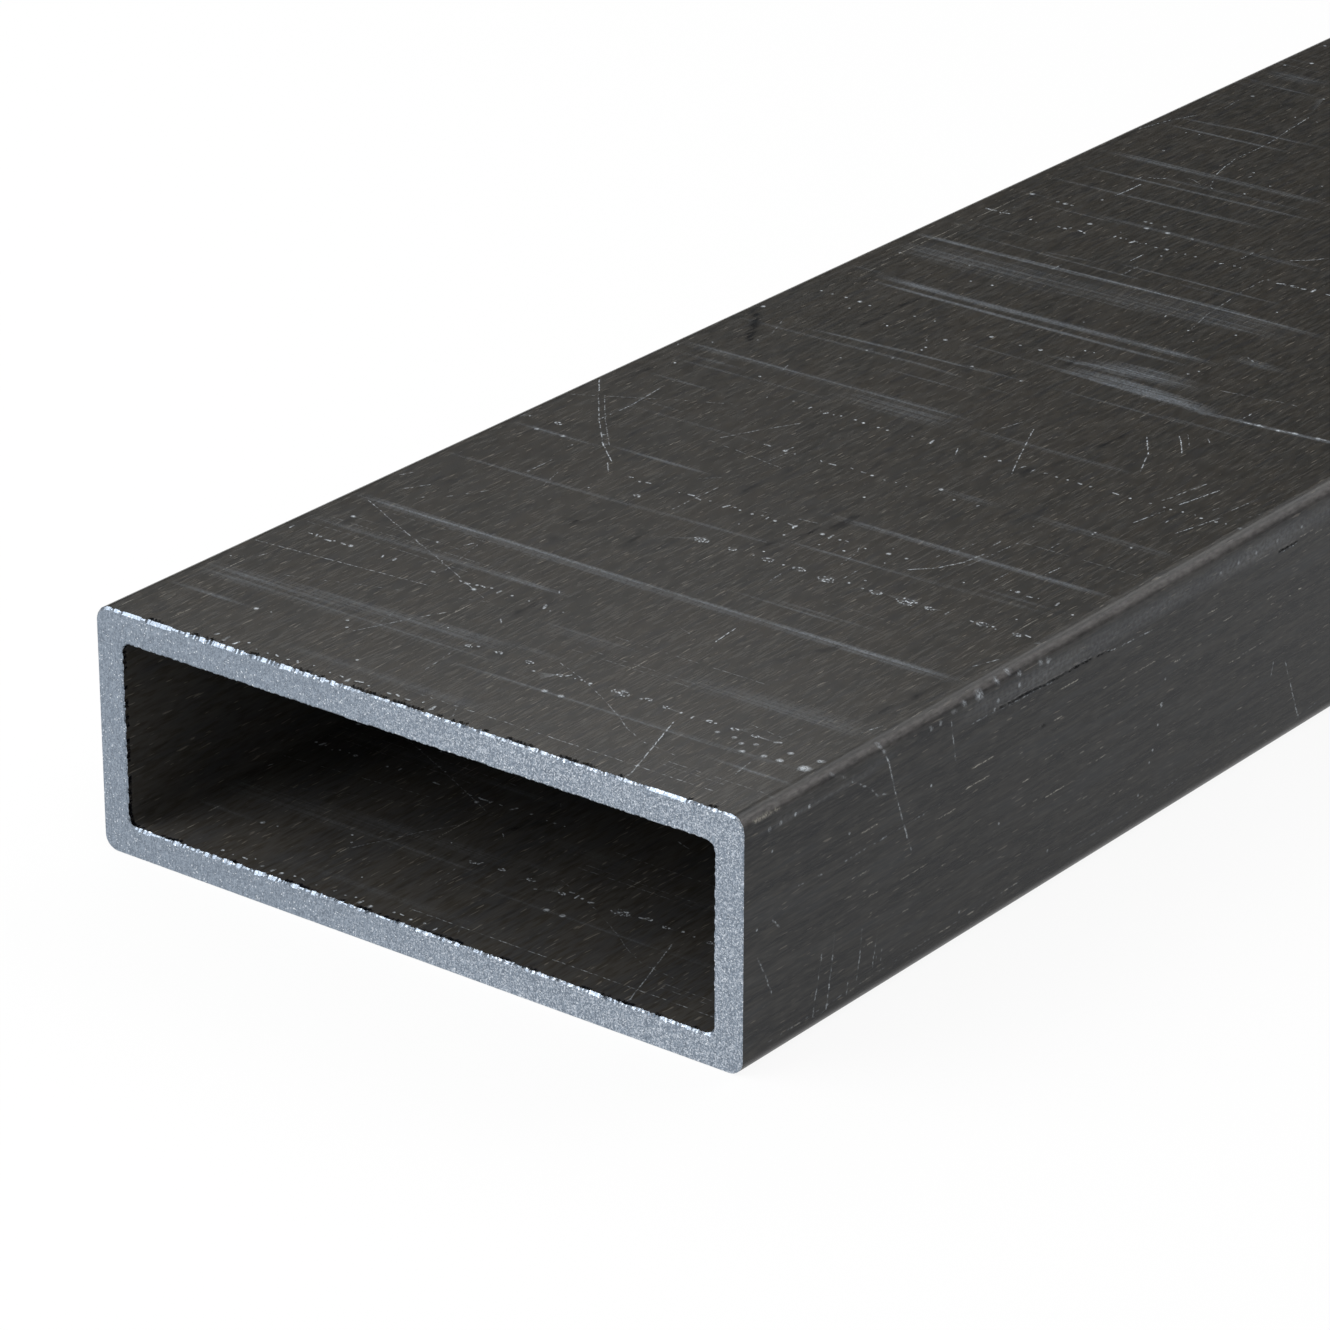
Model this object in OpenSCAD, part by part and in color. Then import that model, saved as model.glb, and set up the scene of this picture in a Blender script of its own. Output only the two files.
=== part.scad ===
// Rectangular steel tube: one length of mill-finish stock, sawn square at both ends.
// It lies on its wide face on Z = 0. Its length runs along Y, and the origin is under its middle.

/* [Section] */
// Outside width of the tube, across its wide face
section_w = 60; // [40:1:120]
// Outside height of the tube, across its narrow face
section_h = 20; // [15:1:60]
// Thickness of the wall
wall = 2.5; // [1:0.1:4]
// Outside radius of the rolled corners
outer_r = 1.2; // [0.5:0.1:4]
// Inside radius of the rolled corners
inner_r = 0.8; // [0.3:0.1:2]

/* [Length] */
// Length that the stock is sold in
stock_l = 1000; // [250:50:6000]

/* [Sawn ends] */
// Edge break that deburring leaves round the rims of each sawn end
edge_break = 0.2; // [0.1:0.05:0.3]

/* [Hidden] */
// Facets in a full circle of the corner arcs
$fn = 64;
// Clear size of the bore
bore_w = section_w - 2 * wall;
bore_h = section_h - 2 * wall;
// How far the bore's cutter runs past each sawn end
overrun = 1;

// Half of a bar's outline, from end to end along its length: straight, with a 45 degree taper at each end.
// A positive taper widens the ends and a negative one narrows them.
function half_outline(half, len, taper) = [
    [half + taper, -len / 2],
    [half, -len / 2 + abs(taper)],
    [half, len / 2 - abs(taper)],
    [half + taper, len / 2]
];

// The same outline mirrored about the bar's axis, as one closed loop
function full_outline(half, len, taper) = concat(
    half_outline(half, len, taper),
    [for (i = [3 : -1 : 0]) let (p = half_outline(half, len, taper)[i]) [-p[0], p[1]]]
);

// Flat-sided slab across a bar, from one pair of corner centres to the other
module slab(across, thick, len, taper) {
    linear_extrude(height = thick, center = true)
        polygon(full_outline(across / 2, len, taper));
}

// Round post that fills one rolled corner along the whole bar
module corner_post(r, len, taper) {
    rotate([-90, 0, 0])
        rotate_extrude()
            polygon(concat([[0, -len / 2]], half_outline(r, len, taper), [[0, len / 2]]));
}

// Bar along Y with rounded corners and tapered ends, centred on its axis
module rounded_bar(w, h, r, len, taper) {
    slab(w, h - 2 * r, len, taper);
    rotate([0, 90, 0])
        slab(h, w - 2 * r, len, taper);
    for (x = [-1, 1], z = [-1, 1])
        translate([x * (w / 2 - r), 0, z * (h / 2 - r)])
            corner_post(r, len, taper);
}

// The tube: a bar with broken rims, bored through by a smaller bar that flares at its mouths
module tube() {
    color([0.21, 0.205, 0.195])
        translate([0, 0, section_h / 2])
            difference() {
                rounded_bar(section_w, section_h, outer_r, stock_l, -edge_break);
                rounded_bar(bore_w, bore_h, inner_r, stock_l + 2 * overrun, edge_break + overrun);
            }
}

tube();
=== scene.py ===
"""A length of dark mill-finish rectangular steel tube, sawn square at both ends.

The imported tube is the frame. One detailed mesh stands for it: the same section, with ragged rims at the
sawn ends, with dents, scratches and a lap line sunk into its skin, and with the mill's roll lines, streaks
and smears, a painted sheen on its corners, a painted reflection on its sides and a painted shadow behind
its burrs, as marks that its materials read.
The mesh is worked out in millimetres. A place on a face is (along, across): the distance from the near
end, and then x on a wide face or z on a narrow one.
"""
import math
import random

import bpy
import numpy as np
from mathutils import Matrix, Vector
from mathutils.geometry import delaunay_2d_cdt


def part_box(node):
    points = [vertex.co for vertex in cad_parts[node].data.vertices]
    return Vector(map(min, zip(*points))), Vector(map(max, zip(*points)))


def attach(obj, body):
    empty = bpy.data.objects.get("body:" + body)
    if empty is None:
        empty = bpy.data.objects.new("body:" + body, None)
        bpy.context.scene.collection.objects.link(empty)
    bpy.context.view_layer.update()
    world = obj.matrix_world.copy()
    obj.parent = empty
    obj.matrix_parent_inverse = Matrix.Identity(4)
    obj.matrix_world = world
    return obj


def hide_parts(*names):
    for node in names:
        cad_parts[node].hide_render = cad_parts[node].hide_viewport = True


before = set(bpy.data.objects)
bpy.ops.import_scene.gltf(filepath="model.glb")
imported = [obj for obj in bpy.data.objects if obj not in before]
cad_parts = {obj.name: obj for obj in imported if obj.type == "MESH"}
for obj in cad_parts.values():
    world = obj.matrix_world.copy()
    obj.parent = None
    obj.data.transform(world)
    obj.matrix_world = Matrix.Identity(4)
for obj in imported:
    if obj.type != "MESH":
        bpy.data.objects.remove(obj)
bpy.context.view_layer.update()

# Sizes of the tube, in millimetres
MM = 0.001
box_low, box_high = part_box("tube")
WIDTH = (box_high[0] - box_low[0]) / MM
LENGTH = (box_high[1] - box_low[1]) / MM
HEIGHT = (box_high[2] - box_low[2]) / MM
NEAR_Y = box_low[1] / MM
WALL = 2.5
OUTER_R = 1.2
INNER_R = 0.8

# Sawn rims: the zone that is meshed finely on the skin and on the cut, how far the edge is broken away,
# how much further its teeth reach, the least break, and the room that is left in the zone behind a notch
RIM_ZONE = 0.85
RIM_BREAK = 0.09
RIM_TEETH = 0.08
RIM_LEAST = 0.02
RIM_ROOM = 0.1
# The burrs behind a ragged edge, sunk and painted dark as the shadow that they cast: their width, the share
# of the rim that has them, how deep they are sunk and how deep their lip, over what width they end, how often
# they change, and how ragged a rim with burrs is
RIM_BURR = 0.36
BURR_SHARE = 0.45
BURR_DEPTH = 0.08
BURR_LIP = 0.02
BURR_FADE = 0.05
BURR_CHANGE = 0.22
BURR_RAGGED = 0.3
# Chips: how ragged a rim with chips is, the share of wide ones, how often they change, and how far wide and
# narrow ones reach, as shares of the broken width
CHIP_RAGGED = 0.14
CHIP_SHARE = 0.6
CHIP_CHANGE = 0.6
CHIP_WIDE = 1.2
CHIP_NARROW = 0.45
# How far apart the points of a rim lie at each end
NEAR_RIM_STEP = 0.12
FAR_RIM_STEP = 0.4
# How ragged the saw left each rim, outside and in the bore
RIM_RAGGED = {
    1: {"bottom": 0.1, "right": 0.1, "top": 0.9, "left": 0.1},
    -1: {"bottom": 1.0, "right": 0.2, "top": 0.25, "left": 0.4},
}
# Stretches of the near rims that differ: face, from and to across, raggedness, broken width
RIM_STRETCHES = {
    1: [("top", -30, -25, 0.15, 0.16), ("top", -25, -6, 0.5, 0.18), ("top", 21.8, 24.9, 0.1, 0.2)],
    -1: [("bottom", -27, -8, 0.6, 0.16), ("bottom", 16.3, 17.4, 0.1, 0.2)],
}

# How much of the length is worked in fine detail from the near end, and the roll lines of the rest:
# over what length they set in, and their strength
FINE_LENGTH = 170.0
FAR_LINES_FADE = 40.0
FAR_LINES_STRENGTH = 0.22
# How far the placed marks of the right side and the closer ones in the bore reach, and how near an end a
# strewn mark may lie
SIDE_LENGTH = 78.0
BORE_LENGTH = 45.0
LAST_MARK = 1.0
# How far the corner between the top and the right side is meshed closely enough to show marks
FINE_ARC = 80.0
# How far apart the rings of a corner lie: where marks show, near the end of the others, and on the rest
FINE_RING_STEP = 0.3
NEAR_RING_STEP = 2.0
NEAR_RINGS_END = 60.0
FAR_RING_STEP = 6.0
# How near a face's edge a mark's point may lie, how near each other, and what counts as one point
EDGE_MARGIN = 0.06
POINT_GAP = 0.05
SAME_POINT = 1e-6
ARC_SLACK = 0.001
# The cut's own points: how far from the rims, how far apart, how much they are shifted, and the slack that
# tells its faces from the ones that the mesher lays over the bore
CUT_MARGIN = 0.25
CUT_STEP = 0.6
CUT_SHIFT = 0.2
CUT_SLACK = 0.02

# Faces of a section in the order that its outline runs: name, and the way its flat looks in degrees
FACES = {"bottom": -90, "right": 0, "top": 90, "left": 180}
# Whether x or z grows along the outline there
FACE_SIGN = {"bottom": 1, "right": 1, "top": -1, "left": -1}

# Roll lines straight across the top: along, from and to across, width, strength
TOP_LINES = [
    (6.6, -29, -20, 0.5, 0.12), (22.6, -29, -3, 0.8, 0.09), (22.6, -13, -3, 0.5, 0.2),
    (21.5, -28, -12, 0.2, 0.1), (23.3, -27, -9, 0.2, 0.1), (24.4, -26, -14, 0.2, 0.08),
    (26.7, -24, -8, 0.2, 0.08), (17.3, -3, 8, 1.2, 0.08), (16.6, 17, 29, 0.5, 0.1),
    (18.8, 4, 18, 0.15, 0.12), (2.3, -2, 26, 0.2, 0.25), (15.1, 3, 14, 0.2, 0.1), (15.8, 3, 14, 0.2, 0.1),
    (3, -15, 6, 1.0, 0.06), (9.2, 0, 6, 0.3, 0.1), (6.5, 22, 30, 0.5, 0.15), (4.2, 20, 30, 0.2, 0.12),
    (3.6, 20, 26, 0.2, 0.1), (13.3, -3, 5, 0.6, 0.08), (30.8, 5, 17, 0.3, 0.15), (31.4, 8, 20, 0.3, 0.15),
    (31, 0, 4, 0.3, 0.12), (33.4, 12, 21, 0.2, 0.08), (47.9, -20, -9, 0.6, 0.15), (47, 2, 29, 0.7, 0.13),
    (50.3, -29, -27, 0.3, 0.12), (42.5, 19, 28, 0.4, 0.15), (51.6, 17, 29, 0.15, 0.1),
    (55.5, -25, -9, 0.5, 0.08), (56.3, 6, 13, 0.8, 0.12), (56.2, 14, 29, 0.8, 0.12),
    (57, -25, -18, 0.3, 0.08), (62.2, -27, -19, 0.4, 0.1), (67.3, -28, -20, 0.5, 0.12),
    (68.2, -12, 0, 2.6, 0.1), (83.3, -11, -2, 0.4, 0.1), (76.3, -4, 0, 0.3, 0.1),
    (74.7, -13, -3, 0.3, 0.08), (79.5, 0, 16, 0.4, 0.07), (79.8, 10, 20, 0.4, 0.07),
    (92.6, -29, -25, 0.4, 0.18), (106.9, -11, 6, 0.3, 0.14), (105.8, -6, 2, 0.3, 0.1),
    (107.6, -29, -18, 0.3, 0.1), (106.5, -29, -24, 0.3, 0.08), (115.8, -20, 5, 0.6, 0.12),
    (115.2, -26, -14, 0.3, 0.08), (117, -28, -24, 0.3, 0.1), (130.5, -28, -4, 0.8, 0.18),
    (155, -28, -20, 0.5, 0.12), (158.3, -29, -21, 1.8, 0.15), (165, -28, -26, 0.5, 0.1),
]

# Roll lines that wander: a path of (along, across), width, strength
TOP_BENT_LINES = [
    ([(9.6, -29), (10, 0)], 1.0, 0.1), ([(10.6, -29), (12.6, 0)], 1.4, 0.1),
    ([(16, 12), (16.4, 22), (16.6, 29)], 1.8, 0.13), ([(27.9, -29), (27.4, 0), (27.7, 29)], 0.9, 0.21),
    ([(8, -3), (8.4, 20), (8.7, 29)], 0.5, 0.13),
    ([(38.9, -29), (39.2, -12), (39.7, 0), (40, 5)], 0.5, 0.16), ([(47, -29), (47.1, -20)], 0.6, 0.22),
    ([(40.7, 2), (41.7, 28)], 0.5, 0.12), ([(66, -27), (66.5, -10)], 0.4, 0.12),
    ([(69.3, -29), (69.6, 0)], 0.8, 0.15), ([(68, 0), (68.2, 17)], 0.6, 0.13),
    ([(76.7, -29), (77.2, -10), (76.9, -5)], 0.4, 0.28),
    ([(78, -23), (78.5, -18), (79, -9), (79.3, -1)], 0.4, 0.18),
    ([(83.3, -3), (83.1, 1), (82.8, 7), (82.4, 14), (82.7, 19), (83.1, 24), (83.6, 29)], 0.5, 0.22),
    ([(83.7, -1), (83.9, 5), (83.4, 10), (82.8, 15)], 1.4, 0.36),
    ([(82.9, 3), (82.6, 8), (82.5, 13)], 0.5, 0.3),
    ([(85.3, -3), (85.8, 2.5), (86.2, 6.5), (86.4, 10)], 0.6, 0.3),
    ([(86, 0), (86.7, 6), (86.6, 11)], 2.0, 0.26), ([(94.2, 9), (93.9, 14)], 1.2, 0.25),
    ([(99.2, -29), (100, -12), (100.9, 0), (101.5, 10)], 2.9, 0.1),
    ([(90.6, -25), (90.3, -10), (90.2, 0), (90.3, 7)], 0.5, 0.19),
    ([(92, -25), (91.8, -15), (92, 0), (92, 9)], 0.9, 0.19),
    ([(97.5, -26), (97.5, -12), (98.4, -9), (98.4, 0)], 0.4, 0.14),
    ([(99.4, -10), (99.4, 0), (99.8, 9)], 0.4, 0.16),
    ([(102.3, -29), (102.6, -15), (102.9, -5), (103, 3), (102.8, 8), (102.5, 13)], 0.6, 0.25),
    ([(105.1, -26), (104.8, -14), (104.7, -6)], 0.3, 0.12), ([(105.3, -18), (106.1, -11.5)], 0.3, 0.12),
    ([(121.5, -28), (122, -5)], 0.5, 0.15), ([(125.8, -27), (126.2, -3)], 0.4, 0.13),
    ([(127.4, -22), (127.8, -5)], 0.5, 0.12), ([(139.9, -28), (140.3, -14)], 0.4, 0.2),
    ([(142.2, -28), (142.9, -20), (143.2, -12)], 0.4, 0.18),
]

# Rows of small dents that a worn roll left across the top: along, and the places across
TOP_DOT_ROWS = [
    (1.15, (-19.2, -18.1, -17, -15.1, -14, -13.2, -12.1, -11.3, -9.9, -8.2, -7.1, -6.3, -5.5, -4.5, -2.5,
            -1.8, -0.8, 0.4, 1.6)),
    (11.3, (-2.7, 5.7, 6.4, 6.9, 7.8, 12.3, 16, 17.1, 19, 24.4)),
    (19.9, (-28.2, -26.2, -25.6, -25.2, -24.3, -23.8, -22.9, -19, -17.9, -14.1, -11.4, -10.7, -9.9, -9.4,
            -8.7, -7.8, -6.6, -5, -3.4, -2.6, -1.7)),
    (37.1, (2.9, 5.8, 11.7, 13.1, 20.7, 23, 24.8, 25.2, 27.8, 29.3)),
    (43.6, (-13.9, -12.8, -12.1, -9, -8, -7.1, -6.1, -4.5, -3.8, -3.2, -2, -1.2, -0.6, 0.2, 1.5, 2.1, 5.4,
            6.3, 6.9, 8.8, 12.4, 22, 23.8, 24.5, 26.2)),
    (55.4, (-9.5, -6.7, -4.2, -3.1, -1.4, -0.2, 0.7, 2, 3, 4.1, 8.6, 10.7)),
    (64, (-13.5, -11.6, -10.5, -9.9, -9.2, -8.6, -7.2, -6.3, -4.8, -3.9, -1.6, 0.3, 5.4, 6.8, 9, 10, 11.1,
          12.2, 13.2, 14.4, 15.4, 17.7, 19.1, 20.9, 22.2, 22.8, 23.8, 24.9, 25.6, 26.9, 27.7, 29.1)),
    (85.9, (-26.7, -25.5, -24.1, -21.4, -17, -15, -6.2, -1.5)),
    (111.4, (-27.4, -26.8, -25.9, -25.4, -22.8, -22, -19.8, -19.2, -18.9, -17.8, -17.2, 1.6, 2.9, 3.4, 5.1, 6,
             7.5)),
    (112.3, (-14.6, -14, -13.5, -12.7, -12.3, -12, -11.5, -10.3, -8.3, -7.4, -6.4, -4.4, -3.7, -2.5, -1.9)),
]

# Ring-shaped dents on the top: along, across, size
TOP_RINGS = [
    (11, -3.3, 0.6), (11.4, -0.8, 0.6), (11.4, 2, 0.75), (11, 5.2, 0.6), (11.6, 12.8, 0.6),
    (11.3, 14.6, 0.6), (11.3, 18.5, 0.6), (11.3, 20.7, 0.6), (11.3, 22.5, 0.6), (37.1, -2, 1.4),
    (37.1, 0.9, 0.8), (37.1, 4.3, 1.1), (37.1, 7.2, 1.1), (36.8, 10, 1.6), (37.1, 14.3, 1.1),
    (37.1, 17.2, 1.9), (37.1, 19.2, 0.8), (37.1, 24, 1.1), (37.1, 27, 0.8), (41, -11.2, 0.7),
    (48.8, -28.5, 0.7), (49, -25.4, 0.7), (111.3, 4.2, 0.7), (11.2, 10.5, 1.6),
]

# Larger soft dents and specks on the top: along, across, size, strength
TOP_SPOTS = [
    (8.2, 6, 0.6, 0.6), (8.2, 7.5, 0.6, 0.6), (10.4, 3.2, 0.35, 0.6), (9.1, 26.3, 0.7, 0.7),
    (10.5, 26.2, 0.6, 0.55), (9.1, 28.4, 1.1, 0.7), (10.7, 28.6, 0.6, 0.55), (9, 25, 0.6, 0.55),
    (8.7, 23.3, 0.6, 0.55), (9.7, 22.5, 0.5, 0.5), (10.2, 23.4, 0.5, 0.5), (10.2, 20, 0.5, 0.4),
    (10.2, 21.5, 0.5, 0.45), (19.9, -22.2, 0.5, 0.8), (47, -26, 0.5, 0.6), (47.1, -23.4, 0.5, 0.6),
    (43.6, 4.6, 0.5, 0.7), (43.6, 10.8, 0.5, 0.7), (43.6, 22.6, 0.5, 0.7), (55.4, -7.7, 0.5, 0.7),
    (56.4, 6.6, 0.5, 0.7), (85.9, -22.6, 0.5, 0.7), (85.9, -9.2, 0.5, 0.7), (85.9, -4.3, 0.5, 0.7),
    (112.3, -9.3, 0.5, 0.7), (116.6, -23.5, 0.4, 0.5), (116.6, -22.7, 0.6, 0.6), (116.6, -22, 0.4, 0.5),
    (116.9, -26.4, 0.6, 0.6), (115.7, -13.6, 0.6, 0.6), (115.8, -11.5, 0.6, 0.6), (115.8, -9, 0.4, 0.5),
    (117, -14.6, 0.4, 0.5), (117, -14, 0.4, 0.5), (117, -12.6, 0.4, 0.5), (113.6, -18.1, 0.6, 0.6),
    (79.2, -1.6, 0.4, 0.5), (79.4, -6.6, 0.4, 0.5), (82.8, 18.8, 0.5, 0.8), (82.8, 20.6, 0.5, 0.8),
    (83.1, 22, 0.5, 0.7), (83.3, 24, 0.5, 0.7), (24.4, -25.8, 0.5, 0.7), (6.6, -20, 0.5, 0.7),
    (19.2, -9.6, 0.5, 0.7), (80, -28.3, 0.5, 0.7), (83, -11.8, 0.5, 0.7), (163, -26.4, 0.5, 0.8),
    (151.5, -25.6, 0.5, 0.4), (154.8, -20, 0.4, 0.5), (161, -28.1, 0.4, 0.5), (168.2, -28.2, 0.4, 0.5),
    (133.6, -14.1, 0.3, 0.6),
]

# Small bright specks on the top: along, across
TOP_SPECKS = [
    (12.9, -28.1), (6.8, -18.7), (24.5, -17.5), (9.1, -13.3), (8.1, -12.5), (4.1, -8.1), (1.6, -16.3),
    (12.6, -6.6), (23.8, -19), (22.3, -15.8), (21.9, -14.9), (41.3, -1.6), (40, -15.2), (38.2, 3.1),
    (38.4, 12.4), (41.7, 2.4), (41.8, 5.6), (42, 7.8), (42, 11.6), (42.6, 18.4), (42.6, 28.2), (39.4, 25.4),
    (44.6, 10.5), (54.7, 16.4), (56.2, 20.8), (56.6, 20.8), (55.8, 24.6), (51.5, 2.8), (65.2, -26.2),
    (70.8, -26.6), (73.5, -24), (77.1, -15.5), (82, -13), (80.6, -12.1), (79.9, -12), (82.7, -17.5),
    (83, -18), (74.4, -16.2), (67, -18.9), (84.1, -22.4), (88, -1.3), (88.1, -0.5), (88.8, 8.2),
    (89.8, 8.6), (95.2, 4.5), (97.1, 2.8), (98.6, 6.5), (105.2, 6.3), (95.6, -18.1), (95.9, -16.1),
    (98.7, -20.4), (97.6, -26.9), (92.1, -12), (93.4, -5.1), (113.5, -14.8), (110.7, -8.8), (119.4, -20.7),
    (117.9, -2.2), (133.7, -23.7), (139.4, -23.6), (139.1, -24.8), (148.8, -19.3), (148.9, -17),
    (134.3, -7.4), (128.4, -11.7), (131.5, -11),
]

# Scratches on the top: a path of (along, across), strength
TOP_SCRATCHES = [
    ([(7.4, -11.9), (12.6, -9.6), (15.2, -8.2)], 0.5), ([(16.3, -29), (17.7, -12.8)], 0.45),
    ([(18.4, -8), (19.4, -10), (22, -15.3), (25.6, -23), (27.6, -27)], 0.5),
    ([(15.6, -4), (16.2, -4.6)], 0.9), ([(12.3, -23.3), (14.4, -17.6), (15.7, -13.9), (18.1, -7.1)], 0.22),
    ([(20, -13.4), (27, -15)], 0.22), ([(10.2, -19.8), (11, -16.5)], 0.2),
    ([(10.4, -11.2), (13.1, -11.7)], 0.2), ([(5.8, -3.1), (9.4, -3.6)], 0.35),
    ([(0.5, 3.8), (2.8, 2.5)], 0.35), ([(0.5, 19.6), (5, 18.1), (9.7, 16.5)], 0.8),
    ([(5.3, 20), (5.7, 16.8), (6.8, 14.6), (8.2, 12.6), (9.9, 9.8), (11.5, 6.8), (12.7, 3.8)], 0.35),
    ([(4.8, 25.3), (8.4, 24.7)], 0.5), ([(10.2, 24.4), (11.5, 24.2)], 0.4),
    ([(12.5, 24.4), (14.5, 24.3)], 0.25), ([(22.5, 10.4), (25.4, 10.1)], 0.8),
    ([(12.1, 25), (12.7, 20.7)], 0.3), ([(16.3, 28.1), (18.2, 28.6)], 0.6), ([(22.6, 8), (23.1, 6.6)], 0.9),
    ([(14.2, -26.4), (14.9, -26.2)], 1.0), ([(25.2, -15.5), (26, -15.2)], 0.9),
    ([(22.5, -4.1), (22.9, -4.4)], 0.7), ([(33, -28.4), (34, -27.9)], 0.8),
    ([(30.3, -26.8), (33, -25.2)], 0.6), ([(30, -24.3), (30.8, -24)], 0.6),
    ([(31.8, -22.7), (34.8, -20.9)], 0.5), ([(43.5, -16), (44.9, -17.2)], 0.8),
    ([(45.3, -17.1), (48, -20.2)], 0.9), ([(47.4, -19.6), (51.8, -23.5), (55.9, -26.8)], 0.6),
    ([(47.8, -19.3), (52.2, -23.2), (56.2, -26.4)], 0.45), ([(56.5, -27.2), (58.7, -28.9)], 0.9),
    ([(51.5, -23.4), (55.5, -23.2), (60, -23.7)], 0.55),
    ([(54.2, -29), (56.2, -25.6), (58.8, -21), (60.8, -17)], 0.35),
    ([(54.4, -13.4), (57.5, -12), (60.8, -10.2)], 0.5), ([(40.5, -7.4), (46.2, -7.3)], 0.5),
    ([(52.5, -7.5), (55.2, -7.3)], 0.4), ([(55.6, -7.7), (56.4, -7.6)], 0.9),
    ([(53.5, -13.7), (53.1, -10.5), (52.3, -5.7)], 0.3), ([(36.8, -17.8), (43.5, -19.8)], 0.25),
    ([(46.1, -10.2), (48.2, -8)], 0.2), ([(39.5, -21), (42.7, -21)], 0.4),
    ([(45.6, -21.7), (46.2, -21.7)], 0.6), ([(44.3, -2), (44.7, 0), (45.2, 3.5)], 0.35),
    ([(33.7, 6.8), (37.2, 6.6)], 0.35), ([(39.5, 9.2), (42.2, 8.8), (43.6, 8.2)], 0.35),
    ([(37.5, 10.9), (40.4, 10.8)], 0.35), ([(42, 13.7), (43.6, 15.2), (45.7, 16.2), (48, 16.5)], 0.8),
    ([(45.2, 14), (48.2, 14.2)], 0.3), ([(46, 14.5), (49.4, 14.8)], 0.3), ([(45, 16.8), (51.4, 17.3)], 0.4),
    ([(49.4, 16.1), (51, 16.1)], 0.5), ([(44.3, 20), (46.1, 20)], 0.5), ([(47.5, 22.4), (49.4, 22.5)], 0.7),
    ([(52, 19.8), (53.4, 19.8)], 0.4), ([(30.5, 27.7), (32.7, 28.5)], 0.5),
    ([(62.3, 9.1), (66, 7.4), (71.2, 5.1)], 0.7), ([(69, 16.7), (72.5, 15.1), (75.6, 12.9)], 0.75),
    ([(74.1, 17.2), (76.4, 15.6), (77, 15)], 0.85), ([(75.8, 16.8), (77.7, 15.4)], 0.4),
    ([(77.3, 17.7), (78, 17.1)], 0.8), ([(60, 22), (63.4, 22.6)], 0.7), ([(65, 21.3), (66.2, 21.6)], 0.6),
    ([(66.6, 21.6), (70, 22.2)], 0.55), ([(65.1, 22.8), (69.5, 23.7)], 0.8),
    ([(61.5, 23.9), (62.8, 23.9)], 0.6), ([(60.2, 25.7), (65.1, 26.8)], 0.6),
    ([(65.2, 25.3), (66.5, 25.6)], 0.5), ([(65.8, 26.5), (69.9, 27)], 0.5),
    ([(66, 28.3), (69.2, 29.3)], 0.35), ([(69.7, 3), (72, 3.6)], 0.4), ([(63, 3.3), (64.2, 2.7)], 0.8),
    ([(75.2, -23.9), (79.3, -25.4)], 0.45), ([(68.9, -18.2), (70.5, -18.6)], 0.4),
    ([(63.5, -15.6), (64.7, -16.1)], 0.4), ([(75.8, -12.4), (77.2, -12.9)], 0.4),
    ([(68.3, -28.4), (69.5, -29)], 0.5), ([(83.3, 17), (84.6, 17)], 0.9),
    ([(82.6, 17.2), (82.75, 19.3)], 0.95), ([(82.9, 20.8), (83.1, 22.3)], 0.95),
    ([(83.3, 24.2), (83.35, 24.8)], 0.9), ([(83.4, 26), (83.6, 27.5)], 0.6),
    ([(87.1, 11.3), (87.7, 15), (88.1, 17.4), (88.2, 19.2)], 0.35),
    ([(97.2, 2.9), (101.3, 2), (107.6, 1.4), (111, 1.3)], 0.4), ([(110.8, -25.7), (115, -25.7)], 0.4),
    ([(102.3, -14.3), (103.6, -14.3)], 0.8), ([(108, -10.2), (110, -10.2)], 0.85),
    ([(94.3, 11), (94.9, 10)], 0.7), ([(98.3, -0.4), (99, -0.6)], 0.6),
    ([(121, -20.4), (123, -20.3), (125, -20.3)], 0.85), ([(125, -21.3), (126.7, -21.3)], 0.6),
    ([(126.8, -21), (127, -20), (127.9, -19)], 0.5),
    ([(128.2, -16.2), (128.8, -17.5), (128.6, -18.3)], 0.4),
    ([(127.8, -14.6), (128, -15.1), (129.2, -15.6), (131, -16.4), (133, -16.9), (135.9, -17.4),
      (139, -17.3), (142, -17.4), (145, -17.8), (149.5, -18.3)], 0.6),
    ([(136.8, -28.9), (138.4, -28.5), (140.9, -27.9), (142.3, -27.3), (143.8, -26.7)], 0.6),
    ([(104.7, -8.9), (107.3, -8.9)], 0.35), ([(114.2, -3), (116.3, -3)], 0.45),
    ([(116.4, 0.5), (117.8, 2), (119, 2.8)], 0.6), ([(132.2, -13.8), (132.8, -13.7)], 0.6),
    ([(146.2, -25.7), (150, -26)], 0.3),
]

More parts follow.
